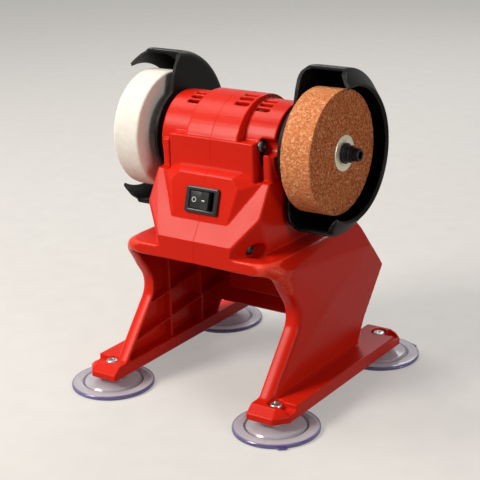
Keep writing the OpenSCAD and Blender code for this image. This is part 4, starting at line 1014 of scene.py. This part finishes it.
def makeCup(c, node, sx, sy, tabAngle):
    def place(p):
        return (p[0] + sx * footX, p[1] + sy * footY, p[2])

    cup = meshFrom(node, *revolved(filleted(c["path"], True), c["segments"], True), place)
    a = math.radians(tabAngle)
    (root, shoulder, tip), corner = c["tab"], c["tabCorner"]
    loops = [[(r * math.cos(a) - t * math.sin(a), r * math.sin(a) + t * math.cos(a), z)
              for r, t in ((root, -w), (shoulder - k, -w), (tip - k, -w + corner),
                           (tip - k, w - corner), (shoulder - k, w), (root, w))]
             for w, z, k in c["tabLayers"]]
    tab = meshFrom(node, *loft(loops), place)
    bm = bmesh.new()
    bm.from_mesh(cup)
    bm.from_mesh(tab)
    bm.to_mesh(cup)
    bm.free()
    obj = makeObject("suctionCup_" + node[4:], cup)
    shadeByAngle(obj, c["sharp"])
    dress(obj, softPvc, "body", [node])


for row in cups["places"]:
    makeCup(cups, *row)
print("cups ready")


# Switch, in its own frame: x across, y up the panel, z out of it
switch = {
    "x": 0.8, "mid": (-43.65, 126.95), "lean": math.degrees(math.atan2(8.7, 29.9)),
    "bezel": (23.6, 16.0, 2.0), "body": (19.2, 12.8, 15.0), "opening": (17.6, 11.2), "floor": -6.9,
    "rockerHalf": 8.0, "rockerHeight": 10.6, "crest": (-0.5, 1.6), "bend": 22.0,
    "corners": (1.0, 0.4, 0.5),  # radius at the corners of the bezel, the body and the opening
    "seat": 0.05, "seatInset": 0.3, "lipFrom": 0.35,
    # how much narrower than the bezel or wider than the opening, and how far under the bezel's top
    "bezelEdge": ((0.0, 0.9), (0.216, 0.45), (0.72, 0.12), (1.44, 0.0)),
    "openingEdge": ((0.6, 0.0), (0.2, 0.12), (0.0, 0.45)), "housingSharp": 50,
    "rockerEnds": (2.0, 4.0), "rockerDraft": 0.2, "rockerFoot": (3.0, -3.6), "rockerEdge": 0.45, "rockerSharp": 40,
    # marks: place from the crest and sizes in mm, and the ink's underside and top
    "ring": (-5.4, 1.55, 1.15), "ringSteps": 40, "bar": (2.6, 1.5, 0.36), "ink": (-0.02, 0.04),
}


def onSwitch(p):
    a = math.radians(90 - switch["lean"])
    return (p[0] + switch["x"], switch["mid"][0] + p[1] * math.cos(a) - p[2] * math.sin(a),
            switch["mid"][1] + p[1] * math.sin(a) + p[2] * math.cos(a))


def makeHousing(s):
    (w, h, t), (bw, bh, depth), (ow, oh) = s["bezel"], s["body"], s["opening"]
    (bezelCorner, bodyCorner, holeCorner), seat, inset = s["corners"], s["seat"], s["seatInset"]
    rows = [(bw, bh, bodyCorner, -depth), (bw, bh, bodyCorner, seat), (w - inset, h - inset, bezelCorner, seat),
            (w, h, bezelCorner, s["lipFrom"])]
    rows += [(w - less, h - less, bezelCorner, t - drop) for less, drop in s["bezelEdge"]]
    rows += [(ow + more, oh + more, holeCorner, t - drop) for more, drop in s["openingEdge"]]
    rows += [(ow, oh, holeCorner, s["floor"])]
    housing = makePiece("switchHousing", loft([roundedBox(*row) for row in rows]), onSwitch, s["housingSharp"])
    dress(housing, blackGloss, "body", ["switch_housing"])


def makeRocker(s):
    (cx, cz), far, (lowEnd, highEnd), (foot, under) = s["crest"], s["rockerHalf"], s["rockerEnds"], s["rockerFoot"]
    bend = math.radians(s["bend"])
    tip = (cx + far * math.cos(bend), cz + far * math.sin(bend))
    side = [(cx - far, cz), (cx, cz), tip, (tip[0] - s["rockerDraft"], tip[1] - highEnd), (foot, under),
            (-foot, under), (cx - far, cz - lowEnd)]
    half = s["rockerHeight"] / 2
    rocker = makePiece("switchRocker", loft([[(x, y, z) for x, z in side] for y in (-half, half)]), onSwitch)
    soft = rocker.modifiers.new("edges", "BEVEL")
    soft.width, soft.segments, soft.limit_method = s["rockerEdge"] * mm, 3, "ANGLE"
    soft.angle_limit = math.radians(15)
    settle(rocker)
    shadeByAngle(rocker, s["rockerSharp"])
    dress(rocker, blackGloss, "rocker", ["switch_rocker"])


def makeMarks(s):
    # printed marks: a ring on the flat half, a short dash near the crest of the raised half
    (cx, cz), bend, (under, top) = s["crest"], math.radians(s["bend"]), s["ink"]
    at, outer, inner = s["ring"]
    turn = [2 * math.pi * i / s["ringSteps"] for i in range(s["ringSteps"])]
    loops = [[(at + r * math.cos(a), r * math.sin(a), cz + z) for a in turn]
             for r, z in ((inner, under), (inner, top), (outer, top), (outer, under))]
    dress(makePiece("ringMark", loft(loops, True), onSwitch), whitePaint, "rocker", [])
    along, halfLong, halfWide = s["bar"]
    corners = ((-halfLong, -halfWide), (halfLong, -halfWide), (halfLong, halfWide), (-halfLong, halfWide))
    loops = [[(cx + (along + u) * math.cos(bend) - z * math.sin(bend), v,
               cz + (along + u) * math.sin(bend) + z * math.cos(bend)) for u, v in corners]
             for z in (under, top)]
    dress(makePiece("barMark", loft(loops), onSwitch), whitePaint, "rocker", [])


for make in (makeHousing, makeRocker, makeMarks):
    make(switch)
print("switch ready")


# CAD nodes whose shape is kept
kept = {
    "switch_terminals": zincSteel, "motor_can": canSteel, "motor_end_bell": packNylon, "motor_magnets": ferrite,
    "motor_brushes": carbonBlock, "armature_core": laminatedSteel, "armature_coils": enamelCopper,
    "commutator": enamelCopper, "cooling_fan": packNylon, "battery_base": packNylon, "battery_cells": cellSleeve,
    "battery_latch": blackGloss, "battery_terminals": packNylon,
}
for side in ("left", "right"):
    kept[side + "_arbor_sleeve"] = turnedSteel
    for part in ("outer", "inner", "balls"):
        kept[f"{side}_bearing_{part}"] = bearingSteel
for node, material in kept.items():
    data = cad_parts[node].data
    data.materials.clear()
    data.materials.append(material)
print("kept nodes finished:", len(kept))
